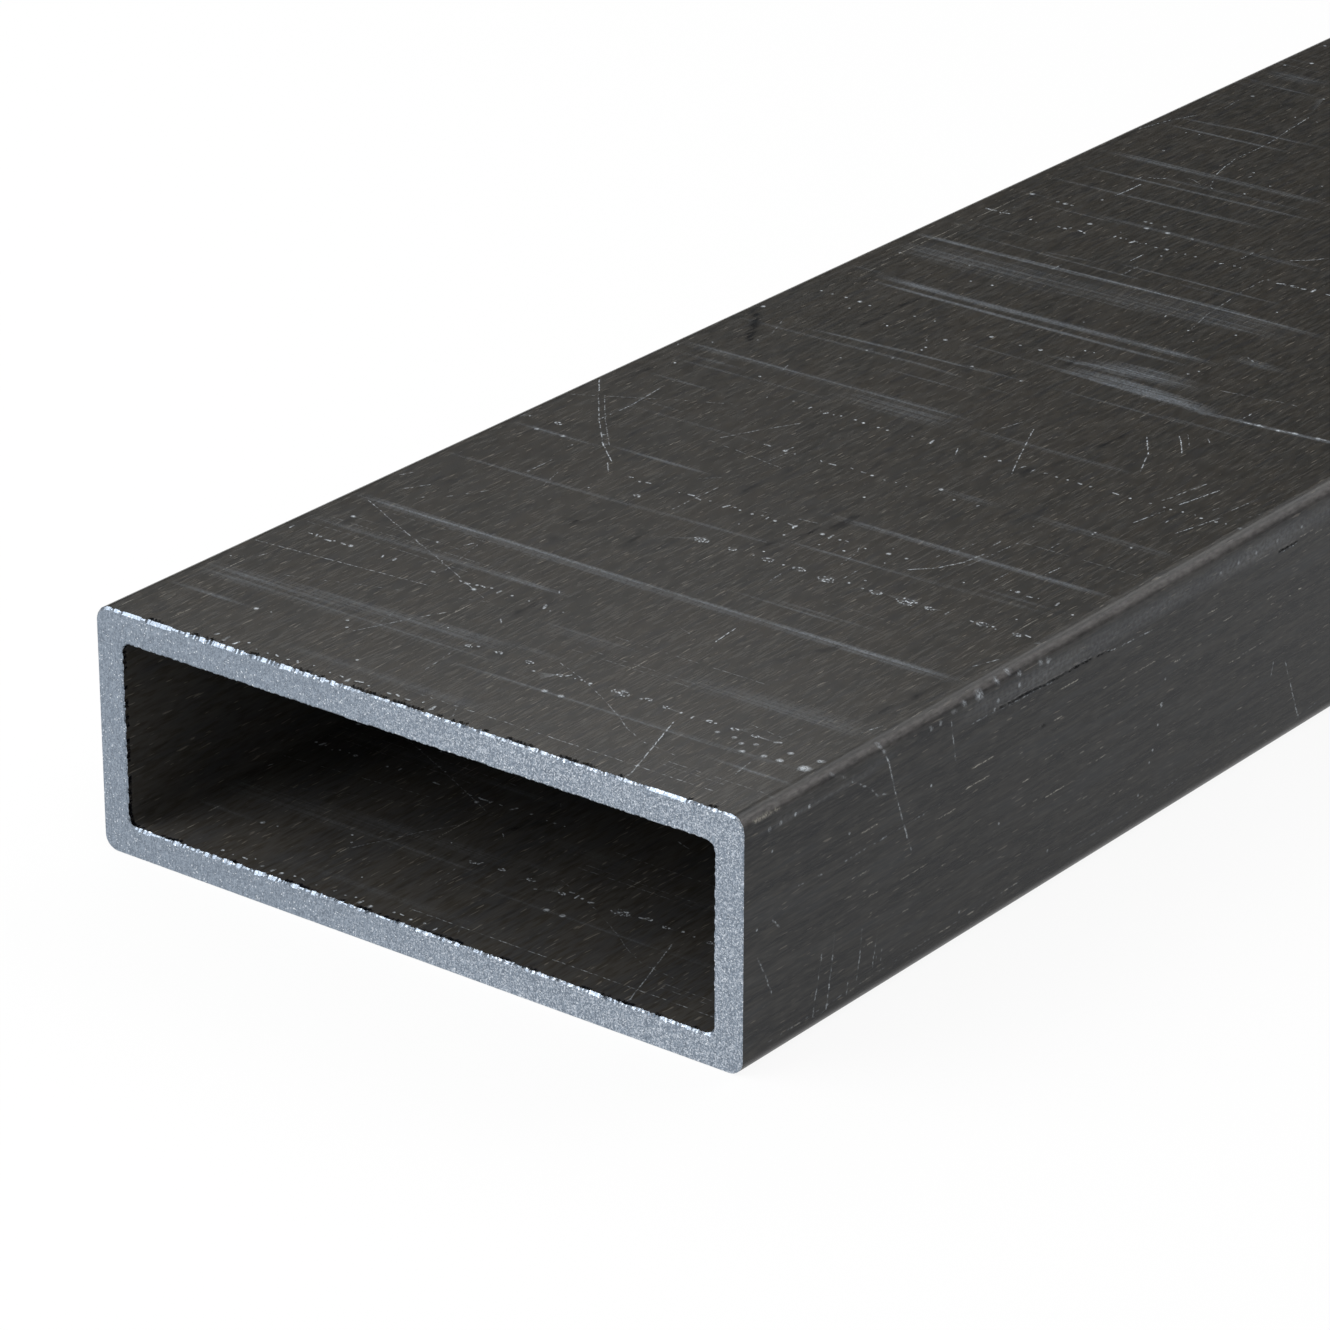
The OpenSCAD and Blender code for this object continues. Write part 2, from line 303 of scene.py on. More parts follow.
# Dark smears on the top: a path of (along, across), width, strength
TOP_SMEARS = [
    ([(29.5, -10), (34.5, -11.8)], 1.0, 0.7), ([(34.5, -11.8), (35.5, -10.4)], 0.6, 0.5),
    ([(32, -5.5), (36.8, -6.8), (37.8, -6.3)], 0.8, 0.7),
    ([(20, 15.4), (24, 16.4), (28.5, 18.4), (29.5, 18)], 0.6, 0.7),
    ([(18, 26.7), (22, 27.3), (29.5, 28.1)], 0.6, 0.6), ([(24.5, -14.4), (29, -15.7)], 0.5, 0.6),
    ([(16.5, -4.3), (23, -4.3)], 0.8, 0.6), ([(18, -3.4), (22, -3.6)], 0.5, 0.5),
    ([(38, 2), (42, 3.3), (46, 4.8), (48.6, 4.6)], 0.7, 0.7), ([(45.5, -5.5), (51, -5)], 0.6, 0.5),
    ([(47.7, -1.4), (50.3, -1)], 0.6, 0.5), ([(72.5, -24.3), (76.5, -26.5), (80, -28.6)], 0.6, 0.9),
    ([(75.5, -22), (76.5, -22)], 0.8, 0.6), ([(68, -23.7), (72, -22.9)], 0.5, 0.5),
    ([(80.2, -23.5), (81.5, -23.5)], 0.5, 0.6), ([(87, -24), (90, -23.3)], 0.6, 0.5),
    ([(80.5, -19.2), (90, -19.2)], 0.4, 0.9), ([(92.8, -19), (99.5, -19.5)], 0.4, 0.8),
    ([(83.5, -0.7), (88, -0.7)], 0.6, 0.6), ([(70.7, 11.3), (75.3, 11.5)], 0.35, 0.9),
    ([(62.5, 9.8), (64.8, 9.4)], 0.5, 0.6), ([(80.2, 13.5), (81.2, 13.5)], 0.8, 0.6),
    ([(89, 9.2), (91, 9.3)], 0.5, 0.6), ([(93.2, -5.5), (94.8, -5.5)], 1.6, 0.5),
    ([(107, -4), (109.5, -4)], 1.0, 0.6), ([(117, -24), (120, -23.5), (123, -23.7)], 0.6, 0.6),
    ([(128, -23.2), (130, -23.4)], 0.5, 0.6), ([(142.5, -24.2), (148, -23.7)], 0.5, 0.6),
    ([(122, -19.7), (122.8, -19.7)], 0.6, 0.6), ([(60, -27.2), (63.5, -27.2)], 0.5, 0.6),
    ([(63, -2.6), (64.5, -2.7)], 0.5, 0.6), ([(60, 28.6), (61.8, 28.9)], 0.5, 0.6),
    ([(101.5, 11.9), (104, 11.7)], 0.5, 0.6), ([(31.8, -22.1), (34.8, -20.3)], 0.3, 0.6),
]

# Pale dry streaks that run lengthwise on the top: from and to along, across
TOP_STREAKS = [
    (1, 2.3, -28.3), (1.5, 3.7, -23.8), (5.5, 7, -24.5), (9, 13, -26.8), (6, 7.3, -12.1), (14.5, 17, 8.5),
    (25.5, 26.7, 25.9), (12.5, 17, -8), (20.5, 21.5, -15.6), (29, 30, -11.4), (33.3, 34.4, 1.8),
    (33.5, 35.3, 0.4), (37.2, 38.6, 1.9), (50.3, 51.5, -15.6), (48.8, 49.6, -8.6), (52, 53, -9.2),
    (51.2, 53.2, -1.8), (53, 54, -3.3), (48.6, 49.8, 12.6), (49.1, 50, 9), (50.5, 51.7, 8.7),
    (33.8, 34.6, 15.1), (37.5, 38.4, 17.6), (43.8, 45.4, 21), (38, 40.4, 26.6), (57.8, 58.8, -17.4),
    (61.6, 62.4, -23.8), (77.6, 78.6, -18.4), (83.3, 84.8, -17.1), (83.6, 84.8, -10.6), (74, 75, -6.2),
    (78.3, 79.8, 10.4), (62.2, 63.3, 19.1), (65.7, 66.6, 8.3), (70.8, 72.2, 20.6), (86, 86.8, 9.8),
    (91, 95, -26.3), (95, 105, -26.8), (105, 118, -26.8), (100, 102.5, -27.6), (102.5, 105, -25.9),
]

# Pale dashes that run lengthwise on the right side: from and to along, height
SIDE_DASHES = [
    (12, 12.7, 13.45), (12.7, 13.2, 10.5), (13.5, 14.8, 10.4), (11.9, 13.2, 9.2), (14, 14.6, 8.95),
    (14.7, 16, 8.3), (18.7, 21.6, 8.1), (15, 15.8, 6.85), (20.3, 21.3, 6.2), (23.7, 24.5, 7.25),
    (19, 19.8, 5.4), (5.7, 6.9, 1.55), (12.6, 13.5, 1.65), (14.2, 15.2, 1.75), (33.4, 34.2, 16.2),
    (35.9, 36.7, 13.5), (44.2, 44.8, 14), (46.6, 52, 13.7), (33.4, 33.9, 12.6), (36.7, 37.8, 10.9),
    (39.3, 40, 10.5), (41.4, 42.1, 9.7), (44.1, 44.8, 9.1), (48.6, 49.1, 9.1), (33.8, 34.5, 8.2),
    (35.4, 36, 8), (42.5, 43, 8.4), (27.3, 27.8, 6.1), (39.5, 40, 5.7), (42, 42.6, 5.8), (48.1, 48.8, 5.05),
    (45.6, 46.5, 4.6), (46.9, 47.5, 4.5), (59.1, 59.9, 16.3), (65, 67, 17.2), (73.5, 74.6, 16.7),
    (71, 73.2, 17.1), (52.5, 53.4, 13.5), (60.6, 62, 13.7), (58.5, 59.1, 13.2), (66.9, 67.7, 13.4),
    (55.1, 55.5, 12.8), (67.5, 68.2, 12.75), (69.5, 70.4, 12.55), (65.1, 65.5, 8.4), (53.3, 54.5, 6.9),
    (57.6, 58, 7.4), (65.9, 66.3, 7.15), (63.1, 64, 5.35), (66.9, 67.7, 2), (63.4, 66.8, 9.9),
]

# Brighter dashes of the same kind
SIDE_BRIGHT_DASHES = [
    (13.7, 16, 13.65), (23.3, 25.4, 11.2), (14.3, 15.5, 4.5), (23.7, 25.1, 1.9), (27.3, 30.1, 13.65),
    (26.6, 29.6, 12.3), (38.7, 40.9, 15.9), (37.8, 38.9, 13.65), (43.6, 45, 8.3), (37, 39.5, 7.75),
    (33.9, 34.9, 10.1), (31.9, 33.6, 2.05), (27.2, 28.1, 1.95), (58.4, 60.8, 15.1), (53.9, 54.8, 12.65),
    (70.8, 71.9, 12.65), (67.4, 68.4, 11.4), (61.7, 63.4, 9.8), (1.3, 4.2, 19.3),
]

# Scratches and lines on the right side: a path of (along, height), width, strength
SIDE_SCRATCHES = [
    ([(0.6, 18.1), (14, 18.1), (20, 18.6)], 0.4, 0.12),
    ([(16, 19.9), (17, 18), (18, 15), (19, 12.3), (20, 10)], 0.2, 0.6),
    ([(10.2, 19.7), (13, 17.9), (14.8, 16.8), (15.7, 15.9), (17.2, 15.5)], 0.2, 0.4),
    ([(24.6, 18.5), (24.9, 17), (25.3, 15.1)], 0.2, 0.45),
    ([(5.7, 12.5), (10, 12.2), (23.4, 12.3)], 0.2, 0.3), ([(3.4, 11), (4.2, 10.1)], 0.2, 0.5),
    ([(1.7, 8.7), (2.6, 7.1), (3.5, 5)], 0.2, 0.45), ([(9.3, 6), (8.8, 3.8), (8.2, 1)], 0.2, 0.45),
    ([(10.8, 7), (10.5, 4.7), (10.2, 3), (9.8, 1)], 0.2, 0.6),
    ([(14.1, 6), (13.9, 4), (13.5, 2.2)], 0.2, 0.5), ([(12.5, 2.5), (12.3, 1.5)], 0.2, 0.4),
    ([(16.1, 5.4), (15.4, 2.4)], 0.2, 0.4), ([(15.9, 3.2), (15.8, 2.4)], 0.2, 0.25),
    ([(16.6, 3.5), (16.4, 2.5)], 0.2, 0.25),
    ([(3, 1.55), (20, 1.85), (52, 2.4), (60, 2.7), (66.5, 3)], 0.15, 0.2),
    ([(27, 17.25), (30, 17.2)], 0.15, 0.4), ([(30, 17.1), (38, 16.9)], 0.15, 0.3),
    ([(44.5, 16.9), (45.5, 16.65), (50.7, 16.45)], 0.15, 0.5),
    ([(25, 18.2), (37, 17.9), (79, 18)], 1.4, 0.17),
    ([(70, 7.1), (70.6, 5.6), (71.3, 4), (72.5, 1.1)], 0.2, 0.5), ([(68.3, 7.7), (68, 6.5)], 0.2, 0.35),
    ([(71, 1.2), (75, 1.8)], 0.15, 0.2), ([(68.2, 16.75), (70.9, 16.75)], 0.15, 0.4),
]

# The dark lip where the strip was rolled over itself high on the right side, and other dark lines there
SIDE_SMEARS = [
    ([(30.2, 17.3), (34, 17.2), (38, 17.05), (42, 17), (45, 16.8)], 0.22, 0.85),
    ([(68.2, 16.9), (70.9, 16.9)], 0.2, 0.8), ([(35.9, 13.8), (36.7, 13.8)], 0.25, 0.8),
]

# Dents and specks on the right side: along, height, size, strength
SIDE_SPOTS = [
    (6, 18.1, 0.4, 0.6), (7.6, 18.1, 0.4, 0.6), (3, 18.1, 0.5, 0.3), (4.3, 18.1, 0.5, 0.3),
    (22.2, 18.7, 0.5, 0.3), (23.3, 18.7, 0.5, 0.3), (25, 19, 0.5, 0.3), (0.7, 10.9, 0.3, 0.6),
    (1.6, 10.9, 0.3, 0.6), (0.7, 16.6, 0.3, 0.6), (3.3, 16.3, 0.3, 0.6), (12.4, 14.2, 0.3, 0.6),
    (22.3, 14.2, 0.3, 0.6), (31, 7.9, 0.3, 0.6), (37.5, 3.2, 0.3, 0.6), (26.2, 2.6, 0.3, 0.6),
    (49.6, 3.2, 0.3, 0.6), (38.6, 1.1, 0.3, 0.6), (51, 5.4, 0.3, 0.6), (51.4, 6.3, 0.3, 0.6),
    (52, 8.2, 0.3, 0.6), (52.4, 9.7, 0.5, 0.7), (52.8, 11.7, 0.3, 0.6), (26.3, 19.2, 0.6, 0.5),
    (28.2, 19.2, 1.0, 0.6), (30.5, 19.5, 0.6, 0.6), (32.1, 19.7, 0.6, 0.6), (33.2, 19.1, 0.6, 0.5),
    (33.2, 18.2, 0.5, 0.4), (35.9, 19, 0.6, 0.5), (36.9, 18.8, 0.6, 0.5), (30.5, 17.9, 0.5, 0.4),
    (30.1, 17.35, 0.4, 0.4), (60, 17.9, 0.4, 0.3), (62.5, 17.9, 0.4, 0.3), (65, 17.9, 0.4, 0.3),
    (68, 17.9, 0.4, 0.3), (71.5, 17.9, 0.4, 0.3),
]

# Line marks: how closely a line follows its path, how wide it is, how far it is sunk, and its share of gaps
LINE_STEP = 0.8
FINE_LINE = 0.25
SCRATCH_STEP = 0.2
SCRATCH_WIDTH = 0.13
SCRATCH_DEPTH = 0.012
LAP_DEPTH = 0.15
LAP_GAPS = 0.1
STREAK_STEP = 0.4
STREAK_WIDTH = 0.15
STREAK_GAPS = 0.2
STREAK_STRENGTH = 0.34
DASH_GAPS = 0.15
DASH_STRENGTH = 0.33
BRIGHT_DASH_STRENGTH = 0.65
# A faint scratch is more broken than a strong one: strengths, and the share of gaps at each
SCRATCH_STRENGTHS = (0.3, 0.5, 0.8)
SCRATCH_GAPS = (0.75, 0.55, 0.3)
# Roll lines as thin as scratches: how much stronger they are drawn, and their share of gaps
THIN_LINE_BOOST = 1.6
THIN_LINE_GAPS = 0.6
# Sharp lines: how far they wander in widths, how their strength varies, what is left of it in gaps and at
# the ends, and the chance that a line other than a scratch goes on as it was
LINE_WANDER = 0.1
LINE_VARIES = (0.55, 1.25)
LINE_GAP = 0.06
LINE_END = 0.3
LINE_STEADY = 0.5
# Soft bands: steps between changes of strength, how it varies, length of the faded ends, what is left there,
# and how much wider than their cores they are
SOFT_RUN = 6
SOFT_VARIES = (0.6, 1.2)
SOFT_END = 4.0
SOFT_LEAST = 0.1
SOFT_SPREAD = 1.5
BLOOM_STEP = 1.0
SMEAR_SPREAD = 2.0
SMEAR_SHARE = 0.65
SMEAR_STEP = 0.7
SMEAR_GAPS = 0.1
# Dents and specks: how far they are sunk, their sizes, and how sizes, strengths and places vary
DENT_DEPTH = 0.02
DOT_SIZE = 0.3
DOT_VARIES = (0.6, 1.3)
DOT_STRENGTH = (0.5, 1.0)
DOT_WANDER = 0.12
SPECK_SIZE = 0.26
SPECK_VARIES = (0.7, 1.2)
SPECK_STRENGTH = 0.8
# The share of round dents, and for the drawn-out ones their tilt, length, weaker end and slimness
ROUND_DENTS = 0.5
DENT_TILT = 0.3
DENT_REACH = (0.4, 1.0)
DENT_FADE = (0.3, 1.0)
DENT_SLIM = 0.7
# Ring-shaped dents: the patch inside, the points on the rim and in the filling, and their half sizes
RING_PATCH = 0.1
RING_DOT = 0.19
RING_STRENGTH = (0.65, 1.0)
RING_LEAST = 5
RING_POINTS = 7
RING_RIM = (0.85, 1.0)
RING_FILLING = (0.0, 0.75)
RING_FILLED = 1.2
RING_ACROSS = 0.5
RING_ALONG = 0.26
# How a mark is meshed: the half size of a small spot, the corners of a small spot and of others, where the
# inner ring of the others lies, the half width of a wide band, and how flat a mark is in its middle
SMALL_SPOT = 0.12
SMALL_SPOT_CORNERS = 6
SPOT_CORNERS = 8
SPOT_INNER = 0.55
WIDE_BAND = 0.5
FLAT_MIDDLE = 1.3

# Marks strewn past the placed ones: how many on this length of a wide flat, the width of that flat, and how
# far from its edges they start and end
STREWN_BANDS = 10
STREWN_DOT_ROWS = 2
STREWN_SCRATCHES = 15
STREWN_SPECKS = 16
STREWN_LENGTH = 100.0
WIDE_FLAT = 57.6
STREWN_MARGIN = 0.5
STREWN_EDGE = 0.3
# Strewn bands: how far they run, how askew they are, widths, strengths, step and share of gaps
BAND_RUN = (6, 32)
BAND_SKEW = 0.25
BAND_WIDTHS = (0.3, 0.4, 0.5, 0.6, 0.9)
BAND_STRENGTH = (0.08, 0.28)
BAND_STEP = 2.2
BAND_GAPS = 0.15
# Strewn rows of dents: how many dents, how far apart, and how far off the row
ROW_DOTS = (6, 16)
ROW_GAP = (0.6, 2.2)
ROW_WANDER = 0.1
# Strewn scratches and specks: lengths, slant, strengths, step, share of gaps, and how sizes vary
STREWN_RUN = (0.8, 6)
STREWN_SLANT = 0.5
STREWN_STRENGTH = (0.3, 0.85)
STREWN_STEP = 0.6
STREWN_GAPS = 0.35
STREWN_SPECK_VARIES = (0.7, 1.7)
STREWN_SPECK_STRENGTH = (0.4, 0.9)
# Strewn smears and streaks: kind, count, width and strength, then slant, lengths, step and share of gaps
STREWN_STROKES = (("smear", 7, 1.2, 0.35), ("streak", 10, STREAK_WIDTH, 0.5))
STROKE_SLANT = 0.3
STROKE_RUN = (0.8, 5)
STROKE_STEP = 0.8
STROKE_GAPS = 0.15

# The kinds of mark that the materials read
KINDS = ("haze", "bloom", "scratch", "streak", "smear", "wear_and_sheen", "side", "matt")

# How pale the rolled corner after each face is painted, by abrasion and as a painted sheen, and how that
# paleness spreads over its quarter turn
ARRIS_WEAR_AND_SHEEN = {"right": 1.0, "top": 0.5, "bottom": 0.0, "left": 0.15}
ARRIS_SPREAD = (0.0, 0.07, 0.14, 0.37, 0.37, 0.09, 0.0, 0.0, 0.0)
# How that paleness varies along the tube: length of a patch, and how much it changes
ARRIS_PATCHES = ((1.5, 0.08), (7.0, 0.1))
ARRIS_SEED = 41


class Outline:
    """A rounded rectangle round the tube's axis, unrolled: s runs round it from the bottom flat."""

    def __init__(self, width, height, radius, arc_steps, facing):
        self.radius = radius
        self.arc_steps = arc_steps
        self.facing = facing
        self.quarter = radius * math.pi / 2
        self.flats = {}
        start = 0.0
        for face, degrees in FACES.items():
            wide = face in ("bottom", "top")
            length = (width if wide else height) - 2 * radius
            reach = (height if wide else width) / 2
            self.flats[face] = (start, length, reach, math.radians(degrees))
            start += length + self.quarter
        self.girth = start

    def s_of(self, face, across):
        """The unrolled place of a point on a face."""
        start, length, _, _ = self.flats[face]
        middle = 0.0 if face in ("bottom", "top") else HEIGHT / 2
        return start + length / 2 + FACE_SIGN[face] * (across - middle)

    def place(self, s):
        """The points (x, z) of the section at s, and the way that its skin looks there."""
        s = np.mod(np.asarray(s, float), self.girth)
        points = np.zeros((len(s), 2))
        looks = np.zeros((len(s), 2))
        for start, length, reach, angle in self.flats.values():
            t = s - start
            here = (t >= 0) & (t < length + self.quarter)
            turned = angle + np.clip(t[here] - length, 0, None) / self.radius
            slide = np.clip(t[here], None, length) - length / 2
            outward = np.column_stack((np.cos(turned), np.sin(turned)))
            forward = np.array((-math.sin(angle), math.cos(angle)))
            core = np.array((0.0, HEIGHT / 2))
            core += (reach - self.radius) * np.array((math.cos(angle), math.sin(angle)))
            points[here] = core + np.outer(slide, forward) + self.radius * outward
            looks[here] = outward
        return points, looks * self.facing


class Mark:
    """One mark on a skin: a path of points (s, y) with a width, a strength at each point, and a depth."""

    def __init__(self, path, width, strengths, kind, depth=0.0):
        self.path = np.asarray(path, float)
        self.half = width / 2
        self.strengths = np.asarray(strengths, float)
        self.kind = kind
        self.depth = depth

    def samples(self):
        """The points that the mesh needs to show this mark."""
        if len(self.path) == 1:
            corners = SMALL_SPOT_CORNERS if self.half < SMALL_SPOT else SPOT_CORNERS
            turns = np.linspace(0, 2 * math.pi, corners + 1)[:-1]
            circle = np.column_stack((np.cos(turns), np.sin(turns))) * self.half
            rings = [self.path, self.path + circle]
            if self.half > SMALL_SPOT:
                rings.append(self.path + SPOT_INNER * circle)
            return np.vstack(rings)
        heading = np.gradient(self.path, axis=0)
        heading /= np.linalg.norm(heading, axis=1)[:, None]
        across = np.column_stack((-heading[:, 1], heading[:, 0])) * self.half
        rows = (-1, 0, 1) if self.half < WIDE_BAND else (-1, -0.5, 0, 0.5, 1)
        caps = self.path[[0, -1]] + self.half * heading[[0, -1]] * [[-1], [1]]
        return np.vstack([self.path + row * across for row in rows] + [caps])

    def values(self, points):
        """How strongly the mark shows at points (s, y)."""
        if len(self.path) == 1:
            gaps = np.linalg.norm(points - self.path[0], axis=1) / self.half
            strength = self.strengths[0]
        else:
            start = self.path[:-1]
            leg = self.path[1:] - start
            part = np.einsum("pkc,kc->pk", points[:, None] - start, leg) / (leg ** 2).sum(1)
            part = np.clip(part, 0, 1)
            away = np.linalg.norm(points[:, None] - start - part[..., None] * leg, axis=2)
            nearest = away.argmin(1)
            picked = np.arange(len(points))
            gaps = away[picked, nearest] / self.half
            share = part[picked, nearest]
            strength = self.strengths[nearest] * (1 - share) + self.strengths[nearest + 1] * share
        return strength * np.clip(FLAT_MIDDLE * (1 - gaps), 0, 1)


def stroke(rng, path, width, strength, kind, step, gaps, depth=0.0):
    """A line mark along a path. A soft band fades at its ends, and a sharp line wanders and has gaps."""
    path = np.asarray(path, float)
    reach = np.concatenate(([0], np.cumsum(np.linalg.norm(np.diff(path, axis=0), axis=1))))
    count = max(3, int(math.ceil(reach[-1] / step)) + 1)
    places = np.linspace(0, reach[-1], count)
    fine = np.column_stack([np.interp(places, reach, path[:, axis]) for axis in (0, 1)])
    if kind in ("haze", "bloom"):
        knots = [strength * rng.uniform(*SOFT_VARIES) for _ in range(count // SOFT_RUN + 2)]
        strengths = np.interp(np.linspace(0, len(knots) - 1, count), range(len(knots)), knots)
        fade = np.clip(np.minimum(places, reach[-1] - places) / SOFT_END, SOFT_LEAST, 1)
        return Mark(fine, SOFT_SPREAD * width, strengths * fade, kind, depth)
    wander = LINE_WANDER * width
    fine[1:-1] += [[rng.gauss(0, wander), rng.gauss(0, wander)] for _ in range(count - 2)]
    strengths = []
    drawn = True
    steadiness = 0.0 if kind == "scratch" else LINE_STEADY
    for _ in range(count):
        if rng.random() >= steadiness:
            drawn = rng.random() > gaps
        strengths.append(min(1.0, strength * (rng.uniform(*LINE_VARIES) if drawn else LINE_GAP)))
    strengths[0] *= LINE_END
    strengths[-1] *= LINE_END
    return Mark(fine, width, strengths, kind, depth)


def gaps_in(strength):
    """How broken a scratch is: a faint one is no more than a row of points."""
    return float(np.interp(strength, SCRATCH_STRENGTHS, SCRATCH_GAPS))


def spot(place, size, strength, kind="scratch"):
    """A round dent or speck."""
    return Mark([place], size, [strength], kind, DENT_DEPTH)


def dent(rng, place, size, strength):
    """A small dent, round or drawn out a little to one side."""
    if rng.random() < ROUND_DENTS:
        return spot(place, size, strength)
    turn = rng.choice((0.0, math.pi / 2)) + rng.gauss(0, DENT_TILT)
    reach = np.array((math.cos(turn), math.sin(turn))) * size * rng.uniform(*DENT_REACH)
    ends = (strength, strength * rng.uniform(*DENT_FADE))
    return Mark([place - reach, place + reach], DENT_SLIM * size, ends, "scratch", DENT_DEPTH)


def dotted_ring(rng, place, size):
    """A dent of small bright points round a faint patch. A large one is filled with points."""
    marks = [spot(place, size, RING_PATCH, "haze")]
    radii = [rng.uniform(*RING_RIM) for _ in range(round(RING_LEAST + RING_POINTS * size))]
    if size > RING_FILLED:
        radii += [rng.uniform(*RING_FILLING) for _ in range(round(RING_POINTS * size))]
    for radius in radii:
        turn = rng.uniform(0, 2 * math.pi)
        s = place[0] + RING_ACROSS * size * radius * math.cos(turn)
        y = place[1] + RING_ALONG * size * radius * math.sin(turn)
        marks.append(spot((s, y), RING_DOT * rng.uniform(*SPECK_VARIES), rng.uniform(*RING_STRENGTH)))
    return marks


def top_marks(outline, face, seed, reach, clarity=1.0):
    """The marks of the top as far as reach along it, laid on a wide face, with a share of their strength."""
    rng = random.Random(seed)

    def at(along, across):
        return outline.s_of(face, across), along

    def line(points, width, strength, kind, step, gaps, depth=0.0):
        return stroke(rng, [at(*p) for p in points], width, strength, kind, step, gaps, depth)

    marks = []
    bands = [([(y, a), (y, b)], width, strength) for y, a, b, width, strength in TOP_LINES]
    for path, width, strength in bands + TOP_BENT_LINES:
        if path[0][0] < reach and width > FINE_LINE:
            marks.append(line(path, width, strength * clarity, "haze", LINE_STEP, 0.0))
        elif path[0][0] < reach:
            level = THIN_LINE_BOOST * strength
            marks.append(line(path, SCRATCH_WIDTH, level, "scratch", SCRATCH_STEP, THIN_LINE_GAPS))
    for along, places in TOP_DOT_ROWS:
        for across in places if along < reach else ():
            size = DOT_SIZE * rng.uniform(*DOT_VARIES)
            place = np.array(at(along + rng.gauss(0, DOT_WANDER), across))
            marks.append(dent(rng, place, size, rng.uniform(*DOT_STRENGTH)))
    for along, across, size in TOP_RINGS:
        if along < reach:
            marks += dotted_ring(rng, at(along, across), size)
    marks += [spot(at(y, x), size, k) for y, x, size, k in TOP_SPOTS if y < reach]
    for along, across in TOP_SPECKS:
        if along < reach:
            marks.append(spot(at(along, across), SPECK_SIZE * rng.uniform(*SPECK_VARIES), SPECK_STRENGTH))
    for path, strength in TOP_SCRATCHES:
        if path[0][0] < reach:
            gaps = gaps_in(strength)
            level = strength * clarity
            marks.append(line(path, SCRATCH_WIDTH, level, "scratch", SCRATCH_STEP, gaps, SCRATCH_DEPTH))
    for path, width, strength in TOP_SMEARS:
        if path[0][0] < reach:
            level = SMEAR_SHARE * strength
            marks.append(line(path, SMEAR_SPREAD * width, level, "smear", SMEAR_STEP, SMEAR_GAPS))
    for start, end, across in TOP_STREAKS:
        if start < reach:
            path = [(start, across), (end, across)]
            marks.append(line(path, STREAK_WIDTH, STREAK_STRENGTH, "streak", STREAK_STEP, STREAK_GAPS))
    return marks


def side_marks(outline, seed):
    """The marks of the right side near its sawn end."""
    rng = random.Random(seed)

    def line(points, width, strength, kind, gaps, depth=0.0):
        path = [(outline.s_of("right", z), along) for along, z in points]
        step = BLOOM_STEP if kind == "bloom" else SCRATCH_STEP
        return stroke(rng, path, width, strength, kind, step, gaps, depth)

    marks = []
    for path, width, strength in SIDE_SCRATCHES:
        if width > FINE_LINE:
            marks.append(line(path, width, strength, "bloom", 0.0))
        else:
            marks.append(line(path, width, strength, "scratch", gaps_in(strength), SCRATCH_DEPTH))
    marks += [line(path, w, k, "smear", LAP_GAPS, LAP_DEPTH) for path, w, k in SIDE_SMEARS]
    for dashes, strength in ((SIDE_DASHES, DASH_STRENGTH), (SIDE_BRIGHT_DASHES, BRIGHT_DASH_STRENGTH)):
        for start, end, z in dashes:
            marks.append(line([(start, z), (end, z)], STREAK_WIDTH, strength, "streak", DASH_GAPS))
    marks += [spot((outline.s_of("right", z), along), size, k) for along, z, size, k in SIDE_SPOTS]
    return marks


def strewn_marks(outline, face, start, end, seed, thickness):
    """Marks of the same kinds strewn at random over a stretch of a face, for the rest of the length."""
    rng = random.Random(seed)
    first, breadth, _, _ = outline.flats[face]
    amount = thickness * (end - start) / STREWN_LENGTH * breadth / WIDE_FLAT
    marks = []

    def place():
        return first + rng.uniform(STREWN_MARGIN, breadth - STREWN_MARGIN), rng.uniform(start, end)

    def kept(s, y):
        low, high = first + STREWN_EDGE, first + breadth - STREWN_EDGE
        return min(max(s, low), high), min(max(y, start), end)

    for _ in range(round(STREWN_BANDS * amount)):
        s, y = place()
        other = kept(s + rng.uniform(*BAND_RUN) * rng.choice((-1, 1)), y + rng.gauss(0, BAND_SKEW))
        width = rng.choice(BAND_WIDTHS)
        strength = rng.uniform(*BAND_STRENGTH)
        marks.append(stroke(rng, [(s, y), other], width, strength, "haze", BAND_STEP, BAND_GAPS))
    for _ in range(round(STREWN_DOT_ROWS * amount)):
        s, y = place()
        for _ in range(rng.randint(*ROW_DOTS)):
            s += rng.uniform(*ROW_GAP)
            if s < first + breadth - STREWN_MARGIN:
                dotted = np.array((s, y + rng.gauss(0, ROW_WANDER)))
                size = DOT_SIZE * rng.uniform(*DOT_VARIES)
                marks.append(dent(rng, dotted, size, rng.uniform(*DOT_STRENGTH)))
    for _ in range(round(STREWN_SCRATCHES * amount)):
        s, y = place()
        run = rng.uniform(*STREWN_RUN)
        path = [(s, y), kept(s + rng.gauss(0, STREWN_SLANT) * run, y + run)]
        strength = rng.uniform(*STREWN_STRENGTH)
        looks = (SCRATCH_WIDTH, strength, "scratch", STREWN_STEP, STREWN_GAPS, SCRATCH_DEPTH)
        marks.append(stroke(rng, path, *looks))
    for _ in range(round(STREWN_SPECKS * amount)):
        where = place()
        size = SPECK_SIZE * rng.uniform(*STREWN_SPECK_VARIES)
        marks.append(spot(where, size, rng.uniform(*STREWN_SPECK_STRENGTH)))
    for kind, count, width, strength in STREWN_STROKES:
        for _ in range(round(count * amount)):
            s, y = place()
            path = [(s, y), kept(s + rng.gauss(0, STROKE_SLANT), y + rng.uniform(*STROKE_RUN))]
            marks.append(stroke(rng, path, width, strength, kind, STROKE_STEP, STROKE_GAPS))
    return marks


def spaced(start, end, step):
    """Evenly spaced values from start to end, about a step apart."""
    return np.linspace(start, end, max(1, round((end - start) / step)) + 1)


